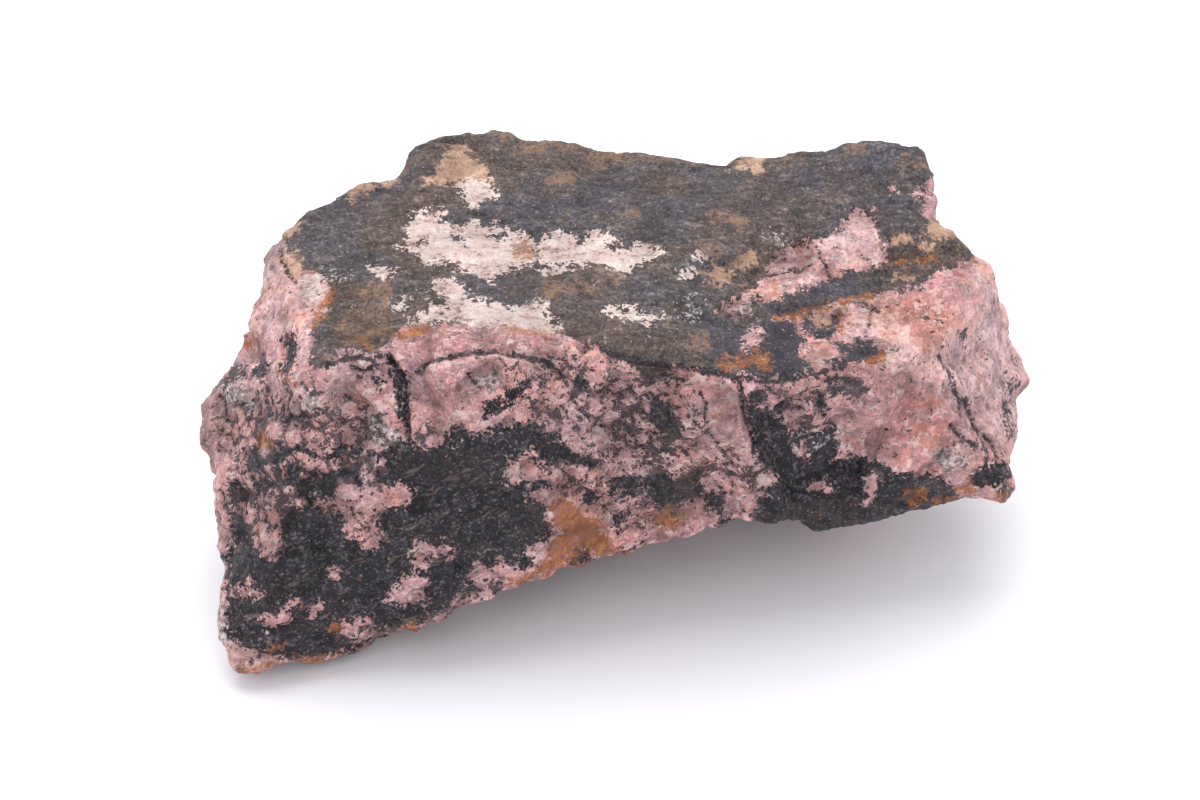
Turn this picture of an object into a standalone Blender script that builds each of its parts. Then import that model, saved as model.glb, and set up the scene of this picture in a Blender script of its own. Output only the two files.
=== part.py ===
"""Rough rhodonite, a hand specimen about 100 mm long, as one solid.

The stone is a block broken from a vein. It starts as the hull of its main corners, and chips are cut
away where the broken faces step. The surface is then made fine enough to be worked: swells and hollows,
worn edges, fracture facets and ledges along the grain. Last, the mesh is thinned and the underside is
pressed flat where the stone rests.

The tables are in millimetres, and the scene is in metres. +X runs along the stone, +Y to the back and
+Z up. The origin is below the middle of the stone, on the surface that it rests on.
"""

import math

import bmesh
import bpy
from mathutils import Vector, noise

MM = 0.001

WORKING_VOXEL = 1.0
FINISHED_TRIANGLES = 8600
STONE_COLOUR = (0.42, 0.24, 0.22, 1.0)
STONE_ROUGHNESS = 0.7

# Corners of the block before it was chipped: top, front ridge, left, right, back, keel and base.
BLOCK = {
    "top_front_left": (-34.5, -21.0, 41.0),
    "top_front_waist": (-25.0, -19.5, 42.3),
    "top_front_middle": (3.0, -20.5, 41.3),
    "top_front_right": (19.0, -20.2, 38.6),
    "top_lip": (31.0, -14.5, 38.8),
    "top_right_shoulder": (43.4, 1.5, 39.6),
    "top_back_right": (37.4, 18.0, 42.2),
    "top_back_right_knob": (28.0, 19.0, 43.0),
    "top_back_middle": (2.0, 17.6, 41.3),
    "top_back_left": (-15.0, 23.0, 42.4),
    "top_back_left_step": (-26.0, 19.5, 42.0),
    "top_left": (-39.2, 3.6, 41.2),
    "ridge_upper": (36.4, -14.0, 32.2),
    "ridge_lower": (43.6, -14.0, 21.0),
    "left_bulge": (-49.5, -8.5, 24.0),
    "left_foot": (-47.2, -20.0, 12.0),
    "front_left_tip": (-44.6, -31.2, 2.8),
    "left_back_foot": (-43.0, 10.0, 3.0),
    "left_back_belt": (-45.0, 11.0, 22.0),
    "right_low": (47.6, -12.5, 15.6),
    "right_bulge": (50.0, 2.5, 20.0),
    "right_back_belt": (43.5, 17.0, 22.0),
    "back_right_belt": (32.0, 27.0, 22.0),
    "back_middle_belt": (4.0, 29.5, 20.0),
    "back_left_belt": (-22.0, 27.5, 24.0),
    "front_left_keel": (-31.5, -27.8, 2.0),
    "front_middle_keel": (-9.0, -22.0, 7.0),
    "front_brow": (24.0, -16.4, 15.2),
    "front_right_keel": (39.0, -13.5, 14.6),
    "base_front_left": (-38.0, -20.0, -0.5),
    "base_front_right": (11.0, 2.0, -0.5),
    "base_right": (28.0, 8.0, 0.5),
    "base_back_right": (18.0, 21.0, -0.5),
    "base_back_left": (-30.0, 18.0, -0.5),
}

# Pieces that broke off, each the hull of its own corners and larger than what it takes away.
CHIPS = {
    "keel_flake": (
        (-28.0, -26.8, 3.2),
        (-20.0, -24.2, 8.6),
        (-9.0, -21.3, 10.6),
        (2.0, -18.5, 13.4),
        (13.0, -16.5, 16.0),
        (22.0, -16.8, 15.6),
        (-34.0, -45.0, 0.0),
        (19.5, -45.0, 8.0),
        (-26.0, -12.0, -2.0),
        (12.0, 2.0, -2.0),
        (24.0, 2.0, 4.0),
    ),
    "top_flake": (
        (29.5, 11.0, 42.8),
        (12.0, -2.6, 40.4),
        (32.5, 1.0, 39.2),
        (30.0, 11.0, 60.0),
        (10.0, -5.0, 60.0),
        (34.0, 0.0, 60.0),
    ),
    "upper_tread": (
        (0.0, -5.4, 43.0),
        (16.0, -3.0, 39.6),
        (34.0, 2.5, 38.5),
        (52.0, 7.0, 38.4),
        (-1.0, -40.0, 43.0),
        (14.0, -40.0, 38.6),
        (52.0, -40.0, 37.0),
        (0.0, -5.4, 60.0),
        (34.0, 3.5, 60.0),
        (52.0, 8.5, 60.0),
        (-1.0, -40.0, 60.0),
        (52.0, -40.0, 60.0),
    ),
    "lower_tread": (
        (0.0, -11.0, 42.4),
        (14.0, -9.0, 38.2),
        (26.0, -7.0, 37.0),
        (38.0, -5.0, 36.6),
        (-1.0, -40.0, 42.4),
        (14.0, -40.0, 37.8),
        (60.0, -40.0, 35.6),
        (0.0, -11.0, 60.0),
        (26.0, -6.5, 60.0),
        (38.0, -4.5, 60.0),
        (-1.0, -40.0, 60.0),
        (60.0, -40.0, 60.0),
    ),
    "right_notch": (
        (38.4, 8.5, 40.0),
        (43.6, 0.8, 39.6),
        (37.6, 14.0, 25.0),
        (36.8, 24.0, 43.5),
        (58.0, -2.0, 41.0),
        (58.0, 26.0, 42.0),
        (38.6, 9.5, 60.0),
        (37.6, 24.0, 60.0),
        (60.0, 0.0, 60.0),
    ),
    "front_recess": (
        (15.2, -18.6, 35.6),
        (17.6, -17.4, 24.5),
        (21.0, -16.2, 16.0),
        (27.0, -17.2, 34.5),
        (29.0, -15.2, 18.0),
        (14.4, -40.0, 36.0),
        (16.6, -40.0, 24.0),
        (20.0, -40.0, 16.0),
        (32.0, -40.0, 35.0),
        (34.0, -40.0, 18.0),
    ),
}

# Swells and hollows: centre, radius, and how far the middle of it moves.
SWELLS = {
    "back_rim_hollow": ((8.0, 18.5, 42.0), 14.0, (0.0, -2.2, -0.9)),
    "back_left_knob": ((-15.0, 23.5, 43.0), 5.0, (0.0, 1.2, 0.8)),
    "back_right_knob": ((33.0, 18.5, 42.6), 7.0, (0.0, 0.8, 0.9)),
    "left_waist": ((-45.5, 0.5, 31.0), 9.0, (3.2, 0.0, -0.6)),
    "left_shin": ((-47.5, -14.0, 16.0), 8.0, (1.6, 1.0, 0.0)),
    "left_step": ((-28.5, 17.0, 41.5), 4.5, (0.3, -1.9, -0.6)),
    "left_lump": ((-33.0, 13.5, 41.5), 5.0, (-0.3, 0.9, 0.5)),
    "front_left_pillow": ((-19.0, -21.5, 33.0), 9.0, (0.0, -1.3, 0.3)),
    "front_waist": ((6.0, -21.0, 26.0), 16.0, (0.0, 1.6, 0.0)),
    "conchoidal_scar": ((32.5, -15.5, 25.5), 8.0, (-0.3, 1.3, 0.2)),
    "right_face_dish": ((44.0, -4.0, 30.0), 12.0, (-1.0, 0.7, -0.7)),
    "right_bulge_point": ((50.4, 2.5, 21.5), 4.0, (0.4, 0.0, 0.0)),
    "top_saddle": ((-4.0, -2.0, 42.0), 22.0, (0.0, 0.0, -1.1)),
    "back_scoop": ((8.0, 29.0, 27.0), 17.0, (0.0, -4.0, 0.0)),
    "back_left_scoop": ((-36.0, 20.0, 20.0), 14.0, (2.2, -2.2, 0.0)),
    "left_back_dent": ((-46.0, 7.0, 24.0), 8.0, (1.6, 0.0, 0.0)),
    "right_underside": ((32.0, -8.0, 10.0), 12.0, (0.0, 0.5, 2.2)),
    "under_arch": ((-6.0, 2.0, 0.0), 15.0, (0.0, 0.0, 2.4)),
}

# Wear rounds the edges, more in some patches than in others. The patches come from a noise between -1 and 1.
EDGE_WEAR_PASSES = 5
WEAR_PER_PASS = 0.5
WEAR_PATCH = 7.0
FRESH_BELOW, WORN_ABOVE = -0.2, 0.5
LEAST_WEAR, MOST_WEAR = 0.08, 0.85

# The relief of a fresh break: sizes along the surface and heights above it. A facet has a size and the
# steepest slope it may take, and the stair of ledges has wanders of a size and an amount in treads.
BROAD_SIZE, BROAD_HEIGHT = 15.0, 0.8
FACET_SIZES = ((11.0, 0.26), (5.0, 0.14))
FACET_STEP = 0.12
FACET_SCATTER = 9.0
LEDGE_WIDTH, LEDGE_HEIGHT, LEDGE_RISER = 4.5, 0.6, 0.3
LEDGE_WANDERS = ((11.0, 2.0), (4.0, 0.5))
KNOB_SIZE, KNOB_HEIGHT = 3.0, 0.15
GRAIN_DIRECTION = Vector((-0.12, 0.98, -0.10)).normalized()

# The top is an old surface, and has this share of the relief. It starts where the normal is this upright.
WEATHERED_SHARE = 0.42
TOP_STARTS, TOP_FULL = 0.55, 0.85

RESTING_HEIGHT = 0.05


def hull(name, corners):
    """A mesh object that is the convex hull of corners in millimetres."""
    cage = bmesh.new()
    for corner in corners:
        cage.verts.new(Vector(corner) * MM)
    made = bmesh.ops.convex_hull(cage, input=cage.verts)
    loose = [v for v in made["geom_interior"] if isinstance(v, bmesh.types.BMVert)]
    bmesh.ops.delete(cage, geom=loose, context="VERTS")
    bmesh.ops.recalc_face_normals(cage, faces=cage.faces)
    mesh = bpy.data.meshes.new(name)
    cage.to_mesh(mesh)
    cage.free()
    return bpy.data.objects.new(name, mesh)


def make_chipped_block(stone_home, cutter_home):
    """The block with its chips cut away, under a fine even skin."""
    block = hull("rhodonite_block", BLOCK.values())
    stone_home.objects.link(block)
    for name, corners in CHIPS.items():
        chip = hull("chip_" + name, corners)
        chip.hide_render = True
        chip.display_type = "WIRE"
        cutter_home.objects.link(chip)
        cut = block.modifiers.new("cut_" + name, "BOOLEAN")
        cut.operation = "DIFFERENCE"
        cut.object = chip
    skin = block.modifiers.new("skin", "REMESH")
    skin.mode = "VOXEL"
    skin.voxel_size = WORKING_VOXEL * MM
    return block


def take_modified_mesh(obj, name):
    """What the object's modifiers make, as a mesh of its own. The object is removed."""
    bpy.context.view_layer.update()
    graph = bpy.context.evaluated_depsgraph_get()
    mesh = bpy.data.meshes.new_from_object(obj.evaluated_get(graph))
    mesh.name = name
    bpy.data.objects.remove(obj)
    return mesh


def falloff(distance, radius):
    share = min(distance / radius, 1.0)
    return (1.0 - share * share) ** 2


def ease(low, high, value):
    share = max(0.0, min(1.0, (value - low) / (high - low)))
    return share * share * (3.0 - 2.0 * share)


def swell(place):
    """How far the swells and hollows move a place, in millimetres."""
    moved = Vector((0.0, 0.0, 0.0))
    for centre, radius, push in SWELLS.values():
        distance = (place - Vector(centre)).length
        if distance < radius:
            moved += Vector(push) * falloff(distance, radius)
    return moved


def facet_relief(place, size):
    """Flat fracture facets: each cell of space tilts the surface its own way, and the cells meet in steps."""
    spot = place / size
    distances, centres = noise.voronoi(spot)
    middle = Vector((0.5, 0.5, 0.5))
    near, far = [
        (spot - centre).dot(noise.cell_vector(centre * FACET_SCATTER) - middle) * size for centre in centres[:2]
    ]
    share = 0.5 + 0.5 * ease(0.0, FACET_STEP, distances[1] - distances[0])
    return near * share + far * (1.0 - share)


def ledge_relief(place):
    """A low stair whose treads run along the grain."""
    climb = place.dot(GRAIN_DIRECTION) / LEDGE_WIDTH
    climb += sum(noise.noise(place / size) * amount for size, amount in LEDGE_WANDERS)
    step = climb - math.floor(climb)
    return ease(0.0, LEDGE_RISER, step) - step


def relief(place, normal):
    """Height of the broken surface above the plain one, in millimetres."""
    broad = noise.noise(place / BROAD_SIZE) * BROAD_HEIGHT
    facets = sum(facet_relief(place, size) * slope for size, slope in FACET_SIZES)
    ledges = ledge_relief(place) * LEDGE_HEIGHT
    knobs = noise.noise(place / KNOB_SIZE) * KNOB_HEIGHT
    topness = ease(TOP_STARTS, TOP_FULL, normal.z)
    return (broad + facets + ledges + knobs) * (1.0 + (WEATHERED_SHARE - 1.0) * topness)


def worn_places(work):
    """Where each vertex would lie on a stone worn round, which pulls in edges and fills corners."""
    worn = work.copy()
    for _ in range(EDGE_WEAR_PASSES):
        bmesh.ops.smooth_vert(
            worn, verts=worn.verts, factor=WEAR_PER_PASS, use_axis_x=True, use_axis_y=True, use_axis_z=True
        )
    places = [v.co.copy() for v in worn.verts]
    worn.free()
    return places


def work_surface(mesh):
    """Moves the vertices of the fine skin: swells, worn edges, then the relief of the break."""
    work = bmesh.new()
    work.from_mesh(mesh)
    worn = worn_places(work)
    work.normal_update()
    for vertex, round_place in zip(work.verts, worn):
        place = vertex.co / MM
        patch = ease(FRESH_BELOW, WORN_ABOVE, noise.noise(place / WEAR_PATCH))
        place_now = place.lerp(round_place / MM, LEAST_WEAR + (MOST_WEAR - LEAST_WEAR) * patch)
        place_now += swell(place)
        place_now += vertex.normal * relief(place, vertex.normal)
        place_now.z = max(place_now.z, 0.0)
        vertex.co = place_now * MM
    work.to_mesh(mesh)
    work.free()


def centre_over_origin(mesh):
    """Puts the middle of the stone's box over the origin, with the base left at its height."""
    for axis in (0, 1):
        places = [v.co[axis] for v in mesh.vertices]
        middle = (min(places) + max(places)) / 2
        for vertex in mesh.vertices:
            vertex.co[axis] -= middle


def press_base_flat(mesh):
    """Brings what thinning left just off the resting surface exactly onto it."""
    for vertex in mesh.vertices:
        if vertex.co.z < RESTING_HEIGHT * MM:
            vertex.co.z = 0.0


def stone_material():
    material = bpy.data.materials.new("rhodonite")
    material.use_nodes = True
    shader = material.node_tree.nodes["Principled BSDF"]
    shader.inputs["Base Color"].default_value = STONE_COLOUR
    shader.inputs["Roughness"].default_value = STONE_ROUGHNESS
    return material


def thinned(mesh, home):
    """The mesh brought down to its finished number of triangles."""
    thick = bpy.data.objects.new("rhodonite_thick", mesh)
    home.objects.link(thick)
    triangles = sum(len(face.vertices) - 2 for face in mesh.polygons)
    thin = thick.modifiers.new("thin", "DECIMATE")
    thin.ratio = FINISHED_TRIANGLES / triangles
    return take_modified_mesh(thick, "rhodonite")


def make_stone(stone_home, cutter_home):
    skin = take_modified_mesh(make_chipped_block(stone_home, cutter_home), "rhodonite_skin")
    work_surface(skin)
    mesh = thinned(skin, stone_home)
    press_base_flat(mesh)
    centre_over_origin(mesh)
    mesh.materials.append(stone_material())
    stone = bpy.data.objects.new("rhodonite", mesh)
    stone_home.objects.link(stone)


def main():
    for old in list(bpy.data.objects):
        bpy.data.objects.remove(old)
    stone_home = bpy.data.collections.new("rhodonite")
    cutter_home = bpy.data.collections.new("chips")
    cutter_home.hide_render = True
    for home in (stone_home, cutter_home):
        bpy.context.scene.collection.children.link(home)
    make_stone(stone_home, cutter_home)


main()
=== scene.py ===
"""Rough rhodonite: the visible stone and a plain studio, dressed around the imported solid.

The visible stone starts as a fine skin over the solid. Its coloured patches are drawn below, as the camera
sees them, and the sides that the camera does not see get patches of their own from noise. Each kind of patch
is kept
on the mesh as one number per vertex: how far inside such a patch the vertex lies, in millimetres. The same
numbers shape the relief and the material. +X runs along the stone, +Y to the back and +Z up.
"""

import math

import bmesh
import bpy
import numpy as np
from bpy.props import FloatProperty, FloatVectorProperty, IntProperty, PointerProperty
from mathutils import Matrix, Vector, noise
from mathutils.bvhtree import BVHTree


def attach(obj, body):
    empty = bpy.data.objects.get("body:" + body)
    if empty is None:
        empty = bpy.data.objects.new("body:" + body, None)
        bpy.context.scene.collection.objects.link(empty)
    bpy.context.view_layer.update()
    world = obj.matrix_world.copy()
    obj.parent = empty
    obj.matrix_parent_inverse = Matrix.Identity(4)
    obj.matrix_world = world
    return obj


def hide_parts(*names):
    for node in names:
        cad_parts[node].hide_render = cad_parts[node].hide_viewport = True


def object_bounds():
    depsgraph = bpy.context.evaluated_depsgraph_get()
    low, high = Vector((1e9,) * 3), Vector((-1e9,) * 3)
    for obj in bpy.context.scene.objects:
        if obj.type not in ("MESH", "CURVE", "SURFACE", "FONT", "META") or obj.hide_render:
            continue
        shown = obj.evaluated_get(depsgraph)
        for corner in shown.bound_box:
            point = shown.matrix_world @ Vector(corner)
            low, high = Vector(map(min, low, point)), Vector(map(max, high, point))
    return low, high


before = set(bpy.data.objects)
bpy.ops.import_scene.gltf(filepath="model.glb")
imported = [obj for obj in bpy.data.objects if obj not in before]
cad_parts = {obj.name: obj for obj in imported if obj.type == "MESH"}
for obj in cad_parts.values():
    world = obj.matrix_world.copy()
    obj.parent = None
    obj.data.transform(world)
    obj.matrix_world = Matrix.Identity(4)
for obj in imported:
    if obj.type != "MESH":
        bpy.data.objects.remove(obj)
SOLID_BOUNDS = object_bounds()

bl_info = {
    "name": "Rough rhodonite",
    "version": (1, 0, 0),
    "blender": (4, 5, 0),
    "location": "3D View > Sidebar > Rhodonite",
    "description": "Builds a rough rhodonite hand specimen and a plain studio around it",
    "category": "Add Mesh",
}

MM = 0.001
SOLID = "rhodonite"
STONE = "visible_rhodonite"

# The camera's picture, in which the patches are drawn.
PICTURE_WIDTH, PICTURE_HEIGHT = 1200.0, 800.0
SENSOR_WIDTH = 36.0
PIXELS_PER_MM = 8.2

# A field is a distance in millimetres, more than zero inside a patch. It stops here on both sides.
FAR_OUTSIDE, FAR_INSIDE = -6.0, 6.0
FIELD_REACH = 50.0

# Outlines, in pixels of the picture. The weathered skin covers the top.
SKIN = {
    "whole_top": "284,236 287,220 300,200 350,165 400,135 450,115 520,115 640,135 735,135 840,120 930,130"
    " 937,165 927,180 924,214 940,233 968,236 980,250 962,264 944,269 930,280 918,287 902,291 884,293"
    " 866,297 850,301 835,305 815,311 800,314 785,319 765,323 748,327 743,345 738,378 720,375 700,371"
    " 670,368 640,364 614,358 600,351 590,346 575,342 556,333 545,330 500,322 440,326 404,330 388,344"
    " 376,354 362,355 350,349 337,352 331,366 313,364 310,340 312,322 322,314 329,298 326,282 312,274"
    " 300,268 291,262 286,252",
}
BARE = {
    "triangular_scar": "864,207 871,213 875,226 882,241 887,255 882,263 868,270 848,272 835,277 822,281"
    " 812,287 798,289 790,295 780,300 758,301 756,292 761,284 768,277 768,266 772,260 783,254 793,248"
    " 801,242 814,242 826,240 836,235 843,225 850,216 857,210",
    "below_scar": "738,298 752,291 754,304 748,318 728,316 716,312 726,304",
    "small_spot": "889,188 897,186 899,194 891,195",
    "back_spot": "912,194 920,190 926,196 916,200",
}
CREAM = {
    "left_lobe": "397,246 403,242 410,236 408,229 411,223 410,218 416,217 420,216 428,213 438,213 446,214"
    " 442,218 441,224 451,227 461,228 469,224 477,222 487,223 498,225 506,230 511,234 521,234 529,237"
    " 535,242 538,250 536,258 531,264 521,268 511,268 509,272 501,274 495,274 493,279 493,284 485,279"
    " 475,277 467,272 459,268 451,264 443,260 433,262 425,264 419,259 417,252 411,248 403,250 397,246",
    "right_lobe": "537,242 544,237 552,233 563,232 573,234 580,239 582,247 585,240 587,234 593,230 601,233"
    " 612,238 622,243 617,246 610,249 619,252 627,248 634,245 641,242 648,245 653,251 663,253 655,258"
    " 646,262 637,265 632,270 628,277 620,274 611,269 601,266 589,265 577,264 565,266 553,263 542,265"
    " 537,258",
    "lower_patch": "433,288 434,282 441,279 453,280 459,285 464,293 471,299 482,303 494,305 505,306 515,305"
    " 525,302 532,303 542,302 549,306 546,312 548,319 555,322 562,327 553,331 539,332 523,331 507,328"
    " 493,325 477,325 461,322 447,321 435,322 423,324 413,327 404,327 410,321 418,316 423,309 429,303"
    " 437,306 443,300 439,293",
    "under_right": "543,268 556,264 572,266 566,272 552,275 544,273",
    "grey_spot": "393,309 397,301 403,299 406,306 400,312",
    "upper_left": "456,185 462,181 470,181 480,184 490,186 498,190 499,197 490,199 484,203 474,206 466,204"
    " 462,197 461,190",
    "small_left": "369,268 378,266 386,266 392,270 401,270 393,275 384,280 377,279 376,273",
    "ridge_cap": "300,276 312,275 322,280 327,290 325,300 315,303 305,300 301,290",
    "tiny_right": "691,259 697,255 704,257 702,261",
    "right_pair": "679,272 686,269 694,273 691,279 683,279",
    "middle_specks": "603,314 615,310 625,308 634,309 640,313 644,318 656,314 662,317 658,321 646,323"
    " 634,321 622,319 610,318",
}
CREAM_HOLES = {
    "hole_a": "489,235 495,230 504,231 510,235 501,239 493,239",
    "hole_b": "451,235 459,235 465,244 456,241",
    "hole_c": "418,243 425,241 424,244",
    "hole_d": "606,244 618,241 622,246 610,249",
    "hole_e": "436,296 444,298 446,306 438,304",
}
OCHRE = {
    "corner_dark": "986,496 998,492 1010,494 1011,500 1000,503 988,502",
    "band_rust": "394,335 403,328 416,325 427,326 421,332 408,337",
    "band_rust_right": "504,327 522,330 540,333 548,338 530,338 512,334",
    "lower_rim": "545,580 570,570 600,559 625,552 650,545 668,538 660,546 630,556 600,566 570,580 548,590",
    "ridge_rim": "326,287 335,291 334,300 328,304 325,314 316,322 315,332 311,328 314,318 322,308 327,299",
    "skin_edge_spot": "357,337 366,334 373,340 368,348 359,347",
    "between_lobes": "514,246 524,243 536,248 537,256 526,258 516,254",
    "above_tread": "884,262 900,258 917,257 936,257 942,260 925,262 905,264 890,266",
    "below_tread": "772,318 800,311 820,306 836,302 852,297 872,294 852,300 836,306 820,310 800,316 780,321",
    "riser_stain": "838,304 843,306 845,322 842,338 838,332 840,318",
    "lip_stain": "716,360 728,358 738,355 748,357 758,350 768,356 771,368 764,371 755,365 744,370 730,368"
    " 718,366",
    "tip_rim": "236,672 250,670 268,665 286,659 286,662 268,669 250,675 238,677",
    "lip_rim": "850,367 866,362 877,354 881,344 887,352 880,361 868,367",
    "left_face_streak": "247,350 250,338 256,334 256,342 250,354",
    "front_left_spot": "256,438 261,432 268,436 268,446 260,447",
    "below_ridge": "287,377 293,376 297,385 291,390",
    "keel_spot": "265,644 276,640 288,641 284,648 270,650",
    "keel_brown": "328,628 334,622 341,624 336,631",
    "keel_rim": "296,656 314,658 332,655 326,663 304,663",
    "keel_rim_right": "404,626 420,624 430,618 428,624 414,632 402,631",
    "orange_stain": "550,508 561,500 574,504 587,516 601,530 616,545 619,553 601,557 586,549 570,560 556,568"
    " 540,577 520,586 511,580 529,571 545,561 549,546 562,534 553,524",
    "lower_orange": "655,518 668,512 680,516 676,526 664,530 656,526",
    "right_bottom": "904,502 908,492 918,488 928,488 926,498 918,506 908,508",
    "right_bottom_pair": "934,500 938,493 950,493 954,500 944,506",
    "corner_ochre": "956,484 968,480 976,490 966,496 956,492",
}
TAN = {
    "front_left_top": "335,332 350,312 372,306 396,312 392,330 376,342 350,344",
    "back_knob": "484,134 500,128 516,136 508,140 492,138",
    "knob_top": "841,150 856,144 864,152 860,161 846,160",
    "back_rim": "518,140 560,137 620,148 700,158 700,165 620,159 560,152 520,151",
    "left_shoulder": "402,162 404,154 414,158 410,168 402,174",
    "middle_streak": "546,184 552,177 566,175 577,178 572,183 558,186",
    "rim_spot": "588,160 596,156 606,160 602,172 592,172",
    "spot_a": "620,216 628,213 641,216 638,222 624,222",
    "spot_b": "704,216 710,211 716,214 712,221",
    "spot_c": "721,218 734,215 745,216 746,228 736,228 728,223",
    "spot_d": "698,246 708,243 722,248 723,256 710,254",
    "spot_e": "734,262 738,252 750,254 753,262 744,268",
    "back_right": "772,162 780,158 792,160 786,165",
    "mass_top": "894,160 902,155 920,158 928,163 920,169 904,167",
    "top_brown_a": "355,292 368,284 386,286 396,296 384,302 364,300",
    "top_brown_b": "612,278 620,276 628,278 624,282",
    "top_brown_c": "700,272 712,268 722,276 720,286 706,284",
    "top_brown_d": "544,288 560,283 576,287 590,292 570,298 552,294",
    "lower_tan": "668,510 680,508 690,514 676,518",
    "tread_end": "952,236 964,238 970,246 958,246",
    "lip_tan": "690,335 700,334 708,342 704,350 694,346",
}
PEACH = {
    "right_peach": "701,272 712,269 724,270 734,275 730,284 716,284 705,282",
    "rind_spot": "885,243 892,238 900,239 907,237 902,244 892,246",
    "rind_spot_b": "914,246 922,243 929,246 922,250",
    "tread_spot": "888,281 890,275 899,274 907,277 912,279 903,281 896,284",
    "scar_end": "741,267 743,257 750,251 757,256 754,266 747,271",
    "peach_dome": "430,182 436,168 445,155 455,148 464,150 475,160 488,175 497,189 482,183 462,181 445,185",
    "left_back_corner": "283,236 290,224 302,222 300,232 292,238",
    "left_back_spot": "286,268 287,256 296,258 300,266 296,278 290,276",
    "back_bump": "344,192 352,184 372,181 392,179 398,184 380,188 360,194 348,197",
    "back_step": "731,166 733,157 745,156 760,160 762,176 752,176 750,168",
    "below_mass": "927,232 934,222 948,228 954,236 940,240",
    "rim_cream_spot": "812,312 824,314 830,322 820,324 812,319",
}
ASH = {
    "left_grey_middle": "222,390 234,383 248,390 254,404 246,416 234,410 226,402",
    "ridge_shade": "300,394 308,386 318,388 322,398 316,410 304,408",
    "grey_lump": "470,380 480,377 495,371 505,378 502,388 491,396 485,390 474,386",
    "crevice_grain": "396,396 402,398 403,408 399,414 395,408",
    "fibre": "500,522 506,520 510,530 504,536",
    "left_fibre": "488,548 494,540 499,536 497,546 492,552",
    "left_shoulder_grey": "214,372 226,362 240,360 246,370 244,384 232,392 216,388",
    "mottle_right": "934,456 944,450 957,452 960,462 949,471 937,469",
    "left_rim_grey": "218,606 226,600 230,620 232,640 224,644 219,630",
    "tan_ring": "304,528 312,520 324,517 332,520 330,534 326,548 322,534 312,526",
    "crevice_side": "366,420 380,418 396,428 406,440 402,448 386,446 372,436",
    "under_pillow": "446,446 456,440 466,444 462,452 450,452",
    "mid_grey": "604,372 616,368 622,378 612,384",
    "scar_grey": "742,300 752,306 748,318 738,314",
}
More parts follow.
